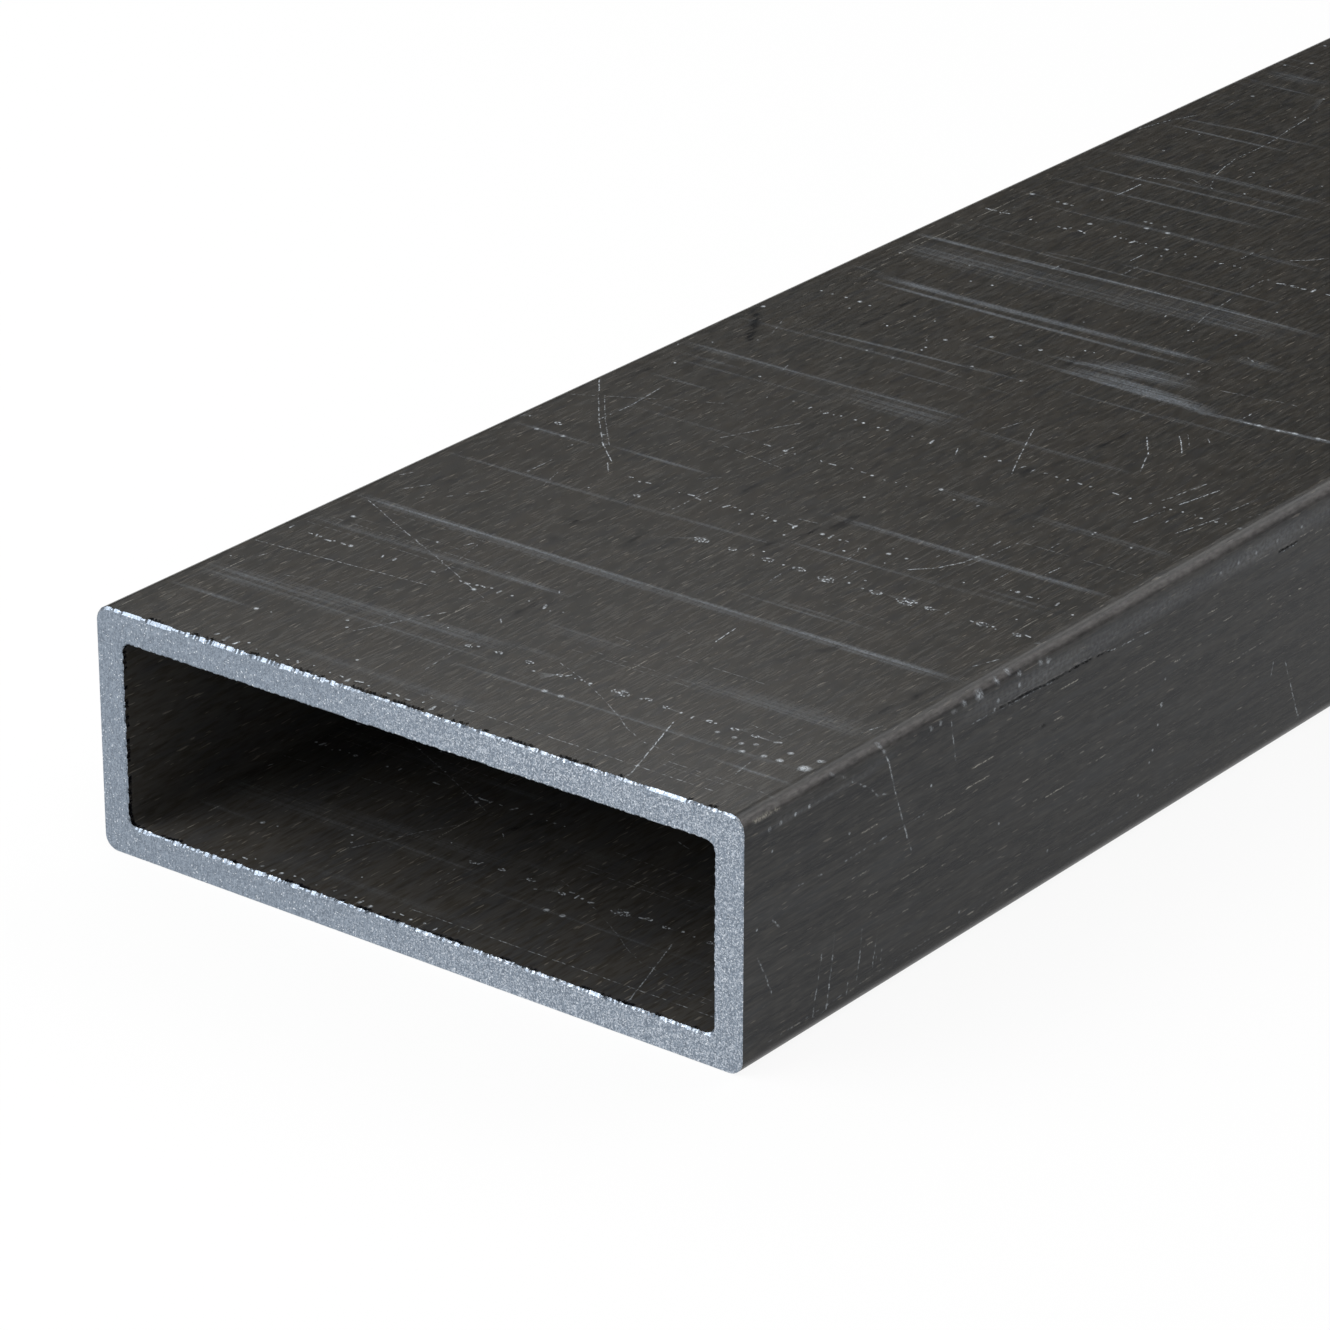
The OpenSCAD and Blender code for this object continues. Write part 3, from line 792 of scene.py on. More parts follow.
def arc_stations(fine_step, fine_end):
    """Where along the tube the rings of a corner arc lie: close together near the end, then wider."""
    first = RIM_ZONE
    last = LENGTH - RIM_ZONE
    return np.concatenate((spaced(first, fine_end, fine_step)[:-1], spaced(fine_end, last, FAR_RING_STEP)))


class Skin:
    """A skin of the tube, outside or in the bore: points (s, y), triangles and quads, and its end rows."""

    def __init__(self, outline, marks, stations):
        self.outline = outline
        self.marks = marks
        self.points = []
        self.on_arc = []
        self.bare = []
        self.sheet_faces = []
        self.arc_faces = []
        self.rows = {"near": [], "far": []}
        self.tone = {}
        arcs = {face: self.add_arc(face, stations[face]) for face in FACES}
        before = dict(zip(FACES, ("left", "bottom", "right", "top")))
        wanted = np.vstack([mark.samples() for mark in marks])
        for face in FACES:
            self.add_flat(face, arcs[before[face]][-1], arcs[face], wanted)
        self.points = np.array(self.points)
        self.on_arc = np.array(self.on_arc)
        self.bare = np.array(self.bare)

    def add(self, s, y, on_arc, bare=False):
        self.points.append((s, y))
        self.on_arc.append(on_arc)
        self.bare.append(bare)
        return len(self.points) - 1

    def add_arc(self, face, stations):
        """The grid of the corner after a face: a list of columns of points."""
        start, length, _, _ = self.outline.flats[face]
        steps = self.outline.arc_steps
        columns = []
        for k in range(steps + 1):
            s = start + length + self.outline.quarter * k / steps
            columns.append([self.add(s, y, True, face != "right" or y > FINE_ARC) for y in stations])
        for left, right in zip(columns, columns[1:]):
            for j in range(len(stations) - 1):
                self.arc_faces.append((left[j], right[j], right[j + 1], left[j + 1]))
        return columns

    def add_flat(self, face, before, arc, wanted):
        """The sheet of a flat face between two corner arcs, meshed to show the marks on it."""
        start, length, _, _ = self.outline.flats[face]
        near_row = [self.add(start + t, RIM_ZONE, False) for t in spaced(0, length, NEAR_RIM_STEP)[1:-1]]
        far_y = LENGTH - RIM_ZONE
        far_row = [self.add(start + t, far_y, False) for t in spaced(0, length, FAR_RIM_STEP)[1:-1]]
        for end, row, ring in (("near", near_row, 0), ("far", far_row, -1)):
            self.rows[end] += [before[ring]] + row + [column[ring] for column in arc[:-1]]
        edge = before + arc[0] + near_row + far_row
        places = [(0.0, self.points[i][1]) for i in before]
        places += [(length, self.points[i][1]) for i in arc[0]]
        places += [(self.points[i][0] - start, self.points[i][1]) for i in near_row + far_row]
        t = wanted[:, 0] - start
        inside = (t > EDGE_MARGIN) & (t < length - EDGE_MARGIN)
        inside &= (wanted[:, 1] > RIM_ZONE + EDGE_MARGIN) & (wanted[:, 1] < far_y - EDGE_MARGIN)
        kept = np.column_stack((t[inside], wanted[inside, 1]))
        _, first = np.unique(np.round(kept / POINT_GAP).astype(int), axis=0, return_index=True)
        for t, y in kept[np.sort(first)]:
            edge.append(self.add(start + t, y, False))
            places.append((t, y))
        found = delaunay_2d_cdt([Vector(p) for p in places], [], [], 0, SAME_POINT)
        names = [edge[group[0]] for group in found[3]]
        self.sheet_faces += [tuple(names[i] for i in face) for face in found[2]]

    def shown(self):
        """How strongly each kind of mark shows at each point, and how deep the skin is sunk there."""
        order = np.argsort(self.points[:, 1])
        sorted_y = self.points[order, 1]
        shown = {kind: np.zeros(len(self.points)) for kind in KINDS}
        depth = np.zeros(len(self.points))
        for mark in self.marks:
            low = mark.path.min(0) - mark.half
            high = mark.path.max(0) + mark.half
            near = order[np.searchsorted(sorted_y, low[1]):np.searchsorted(sorted_y, high[1])]
            s = self.points[near, 0]
            near = near[(s > low[0]) & (s < high[0]) & ~self.bare[near]]
            if len(near) == 0:
                continue
            value = mark.values(self.points[near])
            shown[mark.kind][near] = np.maximum(shown[mark.kind][near], value)
            depth[near] = np.maximum(depth[near], value * mark.depth)
        if self.outline.facing > 0:
            # The rolled corners are paler, by abrasion and by a painted sheen
            shown["wear_and_sheen"] = self.arris_wear_and_sheen()
            looks = self.outline.place(self.points[:, 0])[1]
            shown["side"] = looks[:, 0] ** 2
            shown["matt"] = np.clip(-2 * looks[:, 1], 0, 1)
        return shown, depth

    def arris_wear_and_sheen(self):
        """How pale each point on the rolled corners is painted, by abrasion and as a painted sheen, unevenly
        along the tube.
        """
        rng = random.Random(ARRIS_SEED)
        pale_corners = np.zeros(len(self.points))
        turns = np.linspace(0, self.outline.quarter, len(ARRIS_SPREAD))
        for face, strength in ARRIS_WEAR_AND_SHEEN.items():
            start, length, _, _ = self.outline.flats[face]
            part = self.points[:, 0] - start - length
            here = self.on_arc & (part > -ARC_SLACK) & (part < self.outline.quarter + ARC_SLACK)
            uneven = 1.0
            for step, change in ARRIS_PATCHES:
                stops = np.arange(0, LENGTH + step, step)
                patches = [rng.uniform(1 - change, 1 + change) for _ in stops]
                uneven = uneven * np.interp(self.points[here, 1], stops, patches)
            pale_corners[here] = strength * uneven * np.interp(part[here], turns, ARRIS_SPREAD)
        return pale_corners


def skin_normals(skin, coords):
    """The way the skin looks at each point: exact on the arcs, and tilted by the dents on the flats."""
    looks = skin.outline.place(skin.points[:, 0])[1]
    exact = np.column_stack((looks[:, 0], np.zeros(len(looks)), looks[:, 1]))
    faces = np.array(skin.sheet_faces)
    a, b, c = (coords[faces[:, k]] for k in range(3))
    face_normals = np.cross(b - a, c - a)
    summed = np.zeros_like(coords)
    for k in range(3):
        np.add.at(summed, faces[:, k], face_normals)
    summed *= np.sign((summed * exact).sum(1))[:, None]
    size = np.linalg.norm(summed, axis=1)
    smooth = skin.on_arc | (size == 0)
    summed[smooth] = exact[smooth]
    return summed / np.linalg.norm(summed, axis=1)[:, None]


class TubeMesh:
    """The whole tube as one closed mesh: points, marks at the points, and faces with material and normals."""

    def __init__(self):
        self.coords = []
        self.marks = {kind: [] for kind in KINDS}
        self.normals = []
        self.faces = []
        self.face_materials = []
        self.face_looks = []

    def add_points(self, coords, normals, **marks):
        """Adds points and returns the number of the first."""
        first = sum(len(part) for part in self.coords)
        self.coords.append(np.asarray(coords, float))
        self.normals.append(np.asarray(normals, float))
        for kind in KINDS:
            self.marks[kind].append(np.asarray(marks.get(kind, np.zeros(len(coords))), float))
        return first

    def add_faces(self, faces, material, look="smooth"):
        """Adds faces that shade smoothly by their points, flat by themselves, or flat towards an end."""
        self.faces += faces
        self.face_materials += [material] * len(faces)
        self.face_looks += [look] * len(faces)

    def corner_normals(self, coords, normals):
        """One normal for each corner of each face."""
        found = []
        for face, look in zip(self.faces, self.face_looks):
            if look == "smooth":
                found += [tuple(normals[i]) for i in face]
            elif look == "facet":
                turned = np.cross(coords[face[2]] - coords[face[0]], coords[face[-1]] - coords[face[1]])
                turned /= max(np.linalg.norm(turned), 1e-9)
                found += [tuple(turned)] * len(face)
            else:
                found += [look] * len(face)
        return found

    def make(self, name, materials):
        """The Blender object."""
        coords = np.vstack(self.coords)
        normals = np.vstack(self.normals)
        mesh = bpy.data.meshes.new(name)
        mesh.from_pydata((coords * MM).tolist(), [], self.faces)
        for material in materials:
            mesh.materials.append(material)
        mesh.polygons.foreach_set("material_index", self.face_materials)
        mesh.polygons.foreach_set("use_smooth", [True] * len(self.faces))
        for kind in KINDS:
            layer = mesh.attributes.new(kind, "FLOAT", "POINT")
            layer.data.foreach_set("value", np.concatenate(self.marks[kind]))
        mesh.normals_split_custom_set(self.corner_normals(coords, normals))
        piece = bpy.data.objects.new(name, mesh)
        bpy.context.scene.collection.objects.link(piece)
        return piece


def lay_skin(tube, skin, material):
    """Adds a skin to the tube's mesh. Returns the number of its first point."""
    shown, depth = skin.shown()
    points, looks = skin.outline.place(skin.points[:, 0])
    points = points - looks * depth[:, None]
    coords = np.column_stack((points[:, 0], NEAR_Y + skin.points[:, 1], points[:, 1]))
    first = tube.add_points(coords, skin_normals(skin, coords), **shown)
    faces = [turned(face, skin, first) for face in skin.sheet_faces + skin.arc_faces]
    tube.add_faces(faces, material)
    skin.tone = {kind: shown[kind] for kind in ("wear_and_sheen", "side", "matt")}
    return first


def turned(face, skin, first=0):
    """A face numbered from first, wound so that it looks out of the steel."""
    numbered = tuple(first + i for i in face)
    return numbered[::-1] if skin.outline.facing > 0 else numbered


def rim_wear(skin, end, s):
    """How ragged a rim is at places s, and how wide its edge is broken away."""
    outline = skin.outline
    stations = []
    levels = []
    for face, (start, length, _, _) in outline.flats.items():
        stations += [start, start + length]
        levels += [RIM_RAGGED[outline.facing][face]] * 2
    ragged = np.interp(s, stations + [outline.girth], levels + levels[:1])
    width = np.full(len(s), RIM_BREAK)
    for face, low, high, level, broken in RIM_STRETCHES[outline.facing] if end == "near" else ():
        bounds = sorted((outline.s_of(face, low), outline.s_of(face, high)))
        here = (s > bounds[0]) & (s < bounds[1])
        ragged[here] = level
        width[here] = broken
    return ragged, width


def runs(rng, count, share, change):
    """A row of ones and zeros in runs, of which a share is ones. Each place may change with a chance."""
    row = []
    state = 0.0
    for _ in range(count):
        if rng.random() < change:
            state = float(rng.random() < share)
        row.append(state)
    return np.array(row)


def lay_rim(tube, skin, first, end, materials, seed):
    """The ragged rim of a skin at one end. Returns the points (x, z) and numbers of its row on the cut."""
    rng = random.Random(seed)
    row = skin.rows[end]
    s = skin.points[row, 0]
    end_y = 0.0 if end == "near" else LENGTH
    inward = 1.0 if end == "near" else -1.0
    ragged, width = rim_wear(skin, end, s)
    teeth, notches = (np.abs([rng.gauss(0, RIM_TEETH) for _ in row]) * ragged for _ in range(2))
    burr_and_shadow = np.where(ragged > BURR_RAGGED, runs(rng, len(row), BURR_SHARE, BURR_CHANGE), 0.0)
    chips = np.where(runs(rng, len(row), CHIP_SHARE, CHIP_CHANGE) > 0, CHIP_WIDE, CHIP_NARROW)
    width = width * np.where(ragged > CHIP_RAGGED, chips, 1.0)
    skin_break = np.clip(width + teeth, RIM_LEAST, RIM_ZONE - RIM_BURR - 2 * BURR_FADE)
    points, looks = skin.outline.place(s)
    outward = np.column_stack((looks[:, 0], np.zeros(len(s)), looks[:, 1]))
    to_end = np.tile((0.0, -inward, 0.0), (len(s), 1))
    tone = {kind: values[row] for kind, values in skin.tone.items()}

    def ring(inset, depth, normals, **marks):
        flat = points - looks * np.reshape(inset, (-1, 1))
        y = np.full(len(s), NEAR_Y + end_y) + inward * depth
        return flat, tube.add_points(np.column_stack((flat[:, 0], y, flat[:, 1])), normals, **marks)

    _, behind = ring(0.0, skin_break + RIM_BURR + BURR_FADE, outward, **tone)
    # These rows of burred rims are painted dark as the shadow that the burrs cast
    _, burred = ring(BURR_DEPTH * burr_and_shadow, skin_break + RIM_BURR, outward, smear=burr_and_shadow, **tone)
    _, edge = ring(BURR_LIP * burr_and_shadow, skin_break, outward, smear=burr_and_shadow, **tone)
    _, lip = ring(np.clip(width + notches, RIM_LEAST, RIM_ZONE - RIM_ROOM), 0.0, to_end)
    cut, inner = ring(RIM_ZONE, 0.0, to_end)
    count = len(row)
    rows = [[first + i for i in row]]
    rows += [[start + i for i in range(count)] for start in (behind, burred, edge, lip, inner)]
    looks_of = ("smooth", "smooth", "facet", "facet", (0.0, -inward, 0.0))
    steel = (0, 0, 0, 1, 1)
    for upper, lower, look, part in zip(rows, rows[1:], looks_of, steel):
        faces = []
        for i in range(count):
            j = (i + 1) % count
            face = (lower[i], lower[j], upper[j], upper[i])
            faces.append(turned(face if end == "near" else face[::-1], skin))
        tube.add_faces(faces, materials[part], look)
    return cut, rows[-1]


def lay_cut(tube, outer, bore, end, material, seed):
    """The sawn face between the outer and the bore's rims of one end."""
    rng = random.Random(seed)
    points = np.vstack((outer[0], bore[0]))
    numbers = outer[1] + bore[1]
    bore_w, bore_h = WIDTH / 2 - WALL, HEIGHT / 2 - WALL
    margin = RIM_ZONE + CUT_MARGIN
    extra = []
    for x in spaced(-WIDTH / 2, WIDTH / 2, CUT_STEP):
        for z in spaced(0, HEIGHT, CUT_STEP):
            place = (x + rng.uniform(-CUT_SHIFT, CUT_SHIFT), z + rng.uniform(-CUT_SHIFT, CUT_SHIFT))
            away = (abs(place[0]), abs(place[1] - HEIGHT / 2))
            in_tube = away[0] < WIDTH / 2 - margin and away[1] < HEIGHT / 2 - margin
            in_bore = away[0] < bore_w + margin and away[1] < bore_h + margin
            near_corner = away[0] > WIDTH / 2 - OUTER_R and away[1] > HEIGHT / 2 - OUTER_R
            if in_tube and not in_bore and not near_corner:
                extra.append(place)
    end_y = NEAR_Y if end == "near" else NEAR_Y + LENGTH
    look = (0.0, -1.0 if end == "near" else 1.0, 0.0)
    coords = [(x, end_y, z) for x, z in extra]
    first = tube.add_points(coords, np.tile(look, (len(coords), 1)))
    numbers = numbers + [first + i for i in range(len(extra))]
    places = np.vstack((points, extra))
    found = delaunay_2d_cdt([Vector(p) for p in places], [], [], 0, SAME_POINT)
    faces = []
    for face in found[2]:
        inputs = [found[3][i][0] for i in face]
        x, z = np.abs(places[inputs].mean(0) - (0.0, HEIGHT / 2))
        beyond = max(x - bore_w, z - bore_h)
        corner = math.hypot(x - bore_w + INNER_R, z - bore_h + INNER_R) - INNER_R
        in_corner = x > bore_w - INNER_R and z > bore_h - INNER_R
        if (corner if in_corner else beyond) > RIM_ZONE - CUT_SLACK:
            named = tuple(numbers[i] for i in inputs)
            faces.append(named if end == "near" else named[::-1])
    tube.add_faces(faces, material, look)


class Nodes:
    """A node tree, with short calls for the nodes that the materials and the room share."""

    def __init__(self, tree):
        self.tree = tree

    def node(self, kind, **settings):
        made = self.tree.nodes.new(kind)
        for name, value in settings.items():
            setattr(made, name, value)
        return made

    def feed(self, socket, value):
        """Links a socket, or sets a plain number or colour on it."""
        if isinstance(value, bpy.types.NodeSocket):
            self.tree.links.new(value, socket)
        elif isinstance(value, tuple):
            socket.default_value = (*value, 1.0)
        else:
            socket.default_value = value

    def maths(self, operation, first, second):
        made = self.node("ShaderNodeMath", operation=operation)
        self.feed(made.inputs[0], first)
        self.feed(made.inputs[1], second)
        return made.outputs["Value"]

    def times(self, first, second):
        """Two values multiplied."""
        return self.maths("MULTIPLY", first, second)

    def most(self, first, second):
        """The greater of two values."""
        return self.maths("MAXIMUM", first, second)

    def ramp(self, value, low, high, start=0.0, end=1.0):
        """A value eased from start to end as it goes from low to high."""
        ranged = self.node("ShaderNodeMapRange", interpolation_type="SMOOTHSTEP")
        for name, number in (("From Min", low), ("From Max", high), ("To Min", start), ("To Max", end)):
            ranged.inputs[name].default_value = number
        self.feed(ranged.inputs["Value"], value)
        return ranged.outputs["Result"]


class Paint(Nodes):
    """A material whose patterns are laid out in the tube's own millimetres."""

    def __init__(self, name):
        self.material = bpy.data.materials.new(name)
        self.material.use_nodes = True
        super().__init__(self.material.node_tree)
        self.shader = self.tree.nodes["Principled BSDF"]
        self.coords = self.node("ShaderNodeTexCoord").outputs["Object"]

    def place(self, axis):
        """Where a point lies along an axis, in metres."""
        parts = self.node("ShaderNodeSeparateXYZ")
        self.feed(parts.inputs["Vector"], self.coords)
        return parts.outputs[axis]

    def stretched(self, x, y, z):
        """Coordinates in which a patch of x by y by z millimetres is one unit."""
        mapping = self.node("ShaderNodeMapping")
        mapping.inputs["Scale"].default_value = (1 / (x * MM), 1 / (y * MM), 1 / (z * MM))
        self.feed(mapping.inputs["Vector"], self.coords)
        return mapping.outputs["Vector"]

    def noise(self, x, y, z, detail=2.0):
        """Noise with patches of about x by y by z millimetres."""
        noise = self.node("ShaderNodeTexNoise")
        noise.inputs["Scale"].default_value = 1.0
        noise.inputs["Detail"].default_value = detail
        self.feed(noise.inputs["Vector"], self.stretched(x, y, z))
        return noise.outputs["Fac"]

    def grains(self, x, y, z):
        """A crystal pattern: the distance to each grain's middle, and a random value for each grain."""
        cells = self.node("ShaderNodeTexVoronoi")
        cells.inputs["Scale"].default_value = 1.0
        self.feed(cells.inputs["Vector"], self.stretched(x, y, z))
        value = self.node("ShaderNodeSeparateColor")
        self.feed(value.inputs["Color"], cells.outputs["Color"])
        return cells.outputs["Distance"], value.outputs["Red"]

    def mark(self, kind):
        """How strongly a kind of mark shows."""
        return self.node("ShaderNodeAttribute", attribute_name=kind).outputs["Fac"]

    def blend(self, amount, first, second):
        """A colour between two."""
        mix = self.node("ShaderNodeMix", data_type="RGBA")
        self.feed(mix.inputs["Factor"], amount)
        self.feed(mix.inputs[6], first)
        self.feed(mix.inputs[7], second)
        return mix.outputs[2]

    def bump(self, height, strength, distance):
        """Fine relief on the shader's normal."""
        bump = self.node("ShaderNodeBump")
        bump.inputs["Strength"].default_value = strength
        bump.inputs["Distance"].default_value = distance * MM
        self.feed(bump.inputs["Height"], height)
        self.feed(self.shader.inputs["Normal"], bump.outputs["Normal"])


# Colours of the scale outside, and of its lighter, greyer copy in the bore: cool, warm, share of smudges
OUTER_SCALE = ((0.0088, 0.0082, 0.0064), (0.0142, 0.0118, 0.0083), 0.5)
BORE_SCALE = ((0.041, 0.041, 0.042), (0.053, 0.050, 0.046), 0.2)
# Colours in the scale, and the cooler grey, darker shade and bluer tone of the sides' painted reflection
BROWN = (0.030, 0.0250, 0.0180)
SIDE_REFLECTION_GREY = (0.0140, 0.0157, 0.0180)
SIDE_PAINTED_SHADE = (0.005, 0.0065, 0.0095)
SIDE_REFLECTION_BLUE = (0.030, 0.0345, 0.040)
DRAWN_PALE = (0.046, 0.0435, 0.039)
GRAIN_PALE = (0.062, 0.060, 0.055)
SMUDGE_DARK = (0.007, 0.008, 0.011)
DRY_BROWN = (0.080, 0.070, 0.054)
FLECK_PALE = (0.22, 0.20, 0.17)
# Colours of the marks, and how strong the sides' painted grey is
MARK_COLOURS = {
    "haze": (0.36, 0.405, 0.46),
    "bloom": (0.32, 0.34, 0.37),
    # Abrasion and a painted sheen on the rolled corners
    "wear_and_sheen": (0.31, 0.295, 0.29),
    # Dark smears, and the painted shadow behind the burrs
    "smear": (0.005, 0.006, 0.008),
    "streak": (0.52, 0.50, 0.44),
    "scratch": (0.68, 0.74, 0.80),
}
SIDE_SHARE = 0.7
# Gloss: how much of a smudge counts as oily, roughness of the pale corners and of matt scale, and the sheen
SMUDGE_OILY = 0.4
WORN_ROUGH = 0.38
MATT_ROUGH = 0.34
SCALE_SHEEN = 0.15
# Colours of the sawn steel, dark to bright, the brightest a painted glint
STEEL_DARK = (0.09, 0.11, 0.14)
STEEL_DULL = (0.205, 0.245, 0.298)
STEEL_PLAIN = (0.305, 0.36, 0.432)
STEEL_BRIGHT = (0.70, 0.75, 0.82)
STEEL_GLINT = (0.85, 0.9, 0.95)


def far_roll_lines(paint, sideways):
    """Roll lines across the wide faces, past the length where they are placed one by one."""
    start = (NEAR_Y + FINE_LENGTH) * MM
    beyond = paint.ramp(paint.place("Y"), start - FAR_LINES_FADE * MM, start, 0.0, FAR_LINES_STRENGTH)
    wide_face = paint.ramp(sideways, 0.0, 1.0, 1.0, 0.0)
    band = paint.ramp(paint.noise(22.0, 0.8, 22.0, 1.0), 0.62, 0.76)
    patchy = paint.ramp(paint.noise(35.0, 40.0, 35.0, 1.0), 0.42, 0.62, 0.15, 1.0)
    return paint.times(paint.times(band, patchy), paint.times(beyond, wide_face))


def scale_colour(paint, cool, warm, sideways, drawn, grain):
    """Bare scale: mottled charcoal, with pale streaks and a fine grain, and on the sides a painted
    reflection, bluer and clouded darker and bluer.
    """
    colour = paint.blend(paint.ramp(paint.noise(3.0, 12.0, 3.0, 3.0), 0.35, 0.65), cool, warm)
    mottle = paint.ramp(paint.noise(0.4, 2.0, 0.4, 3.0), 0.42, 0.66, 0.0, 0.6)
    colour = paint.blend(mottle, colour, BROWN)
    # Painted reflection on the sides: a cooler grey, clouded with painted shade and bluer patches
    colour = paint.blend(paint.times(sideways, SIDE_SHARE), colour, SIDE_REFLECTION_GREY)
    cloud = paint.noise(1.1, 9.0, 1.1)
    shaded = paint.times(paint.ramp(cloud, 0.38, 0.52, 0.85, 0.0), sideways)
    colour = paint.blend(shaded, colour, SIDE_PAINTED_SHADE)
    bluish = paint.times(paint.ramp(cloud, 0.5, 0.68, 0.0, 0.4), sideways)
    colour = paint.blend(bluish, colour, SIDE_REFLECTION_BLUE)
    streaked = paint.times(paint.ramp(drawn, 0.42, 0.72), paint.ramp(sideways, 0.0, 1.0, 0.15, 0.5))
    colour = paint.blend(streaked, colour, DRAWN_PALE)
    return paint.blend(paint.ramp(grain, 0.42, 0.72, 0.0, 0.48), colour, GRAIN_PALE)


def soiled_colour(paint, colour, smudge):
    """Scale with dark smudges, dry brown streaks and pale flecks."""
    colour = paint.blend(smudge, colour, SMUDGE_DARK)
    dry = paint.ramp(paint.noise(0.3, 3.0, 0.3, 1.0), 0.68, 0.8, 0.0, 0.3)
    colour = paint.blend(dry, colour, DRY_BROWN)
    fleck = paint.ramp(paint.noise(0.2, 1.7, 0.2, 1.0), 0.67, 0.76, 0.0, 0.4)
    return paint.blend(fleck, colour, FLECK_PALE)


def marked_colour(paint, colour, sideways, smeared_and_shadow):
    """Scale with its marks, each broken up by a pattern of its own and laid over the ones before."""
    grainy = paint.ramp(paint.noise(0.15, 0.15, 0.15, 1.0), 0.3, 0.7, 0.5, 1.5)
    rolled = paint.times(paint.ramp(paint.noise(60.0, 0.32, 60.0, 1.0), 0.36, 0.68, 0.35, 1.3), grainy)
    clouded = paint.ramp(paint.noise(0.3, 0.4, 0.3, 3.0), 0.35, 0.65, 0.5, 1.3)
    rubbed_and_sheen = paint.ramp(paint.noise(0.25, 0.7, 0.25, 3.0), 0.3, 0.7, 0.65, 1.3)
    broken = paint.ramp(paint.noise(0.16, 0.16, 0.16, 1.0), 0.36, 0.58, 0.25, 1.15)
    haze = paint.most(paint.mark("haze"), far_roll_lines(paint, sideways))
    amounts = {
        "haze": paint.times(haze, rolled),
        "bloom": paint.times(paint.mark("bloom"), clouded),
        # The corners' abrasion and painted sheen
        "wear_and_sheen": paint.times(paint.mark("wear_and_sheen"), rubbed_and_sheen),
        "smear": smeared_and_shadow,
        "streak": paint.times(paint.mark("streak"), broken),
        "scratch": paint.times(paint.mark("scratch"), broken),
    }
    for kind, amount in amounts.items():
        colour = paint.blend(amount, colour, MARK_COLOURS[kind])
    return colour


def mill_skin(name, cool, warm, smudging):
    """Dark mill scale, drawn lengthwise, with its soiling and marks, and with painted light: a sheen on its
    corners, a reflection on its sides and a shadow behind the burrs. Smudges and smears are glossier.
    """
    paint = Paint(name)
    sideways = paint.mark("side")
    grain = paint.noise(0.15, 1.7, 0.15)
    drawn = paint.noise(0.35, 6.0, 0.35, 3.0)
    smudge = paint.ramp(paint.noise(0.5, 4.5, 0.5), 0.53, 0.7, 0.0, smudging)
    # Dark smears, and the painted shadow behind the burrs, broken up by noise
    smeared_and_shadow = paint.times(paint.mark("smear"), paint.ramp(paint.noise(0.28, 3.0, 0.28), 0.38, 0.6, 0.2, 1.4))
    colour = scale_colour(paint, cool, warm, sideways, drawn, grain)
    colour = soiled_colour(paint, colour, smudge)
    paint.feed(paint.shader.inputs["Base Color"], marked_colour(paint, colour, sideways, smeared_and_shadow))
    oily = paint.ramp(paint.most(smeared_and_shadow, paint.times(smudge, SMUDGE_OILY)), 0.0, 1.0, 1.0, 0.45)
    roughness = paint.times(paint.ramp(drawn, 0.3, 0.8, 0.2, 0.24), oily)
    roughness = paint.most(roughness, paint.ramp(paint.mark("wear_and_sheen"), 0.0, 0.4, 0.0, WORN_ROUGH))
    roughness = paint.most(roughness, paint.times(paint.mark("matt"), MATT_ROUGH))
    paint.feed(paint.shader.inputs["Roughness"], roughness)
    paint.feed(paint.shader.inputs["Specular IOR Level"], SCALE_SHEEN)
    paint.bump(grain, strength=0.08, distance=0.02)
    return paint.material


def sawn_steel():
    """Bright bare steel with a fine grain that the saw tore, in which single crystals have painted glints,
    and lighter grains are painted stronger towards +X as painted light.
    """
    paint = Paint("sawn_steel")
    edge, chance = paint.grains(0.075, 0.075, 0.09)
    brushing = paint.noise(0.14, 1.0, 0.7)
    # Painted light: the bright grains grow stronger towards +X, where the light falls on the cut
    painted_light_towards_x = paint.ramp(paint.place("X"), -0.016, 0.010, 0.25, 1.0)
    bright = paint.times(paint.ramp(chance, 0.5, 0.95, 0.0, 0.62), painted_light_towards_x)
    colour = paint.blend(paint.ramp(brushing, 0.3, 0.7), STEEL_DULL, STEEL_PLAIN)
    colour = paint.blend(paint.ramp(chance, 0.0, 0.5, 0.5, 0.0), colour, STEEL_DARK)
    colour = paint.blend(bright, colour, STEEL_BRIGHT)
    colour = paint.blend(paint.ramp(chance, 0.97, 0.99, 0.0, 0.8), colour, STEEL_GLINT)
    paint.feed(paint.shader.inputs["Base Color"], colour)
    paint.feed(paint.shader.inputs["Roughness"], paint.ramp(brushing, 0.3, 0.7, 0.33, 0.43))
    paint.feed(paint.shader.inputs["Metallic"], 1.0)
    paint.bump(edge, strength=0.12, distance=0.03)
    return paint.material


def outside_marks(outline):
    """The placed marks of the top and the right side, and strewn ones on the rest of the outside."""
    last = LENGTH - LAST_MARK
    marks = top_marks(outline, "top", seed=11, reach=FINE_LENGTH) + side_marks(outline, seed=12)
    marks += strewn_marks(outline, "top", FINE_LENGTH, last, seed=13, thickness=0.65)
    marks += strewn_marks(outline, "right", SIDE_LENGTH, last, seed=14, thickness=1.0)
    marks += strewn_marks(outline, "left", LAST_MARK, last, seed=15, thickness=0.8)
    marks += strewn_marks(outline, "bottom", LAST_MARK, last, seed=16, thickness=0.4)
    return marks


def bore_marks(outline):
    """Marks in the bore: the top's own, weaker, on its floor, strewn ones near the end, and few beyond."""
    marks = top_marks(outline, "bottom", seed=21, reach=BORE_LENGTH, clarity=0.5)
    for seed, face in enumerate(("left", "right", "top"), 22):
        marks += strewn_marks(outline, face, LAST_MARK, BORE_LENGTH, seed, thickness=0.8)
    for seed, face in enumerate(FACES, 26):
        marks += strewn_marks(outline, face, BORE_LENGTH, LENGTH - LAST_MARK, seed, thickness=0.1)
    return marks


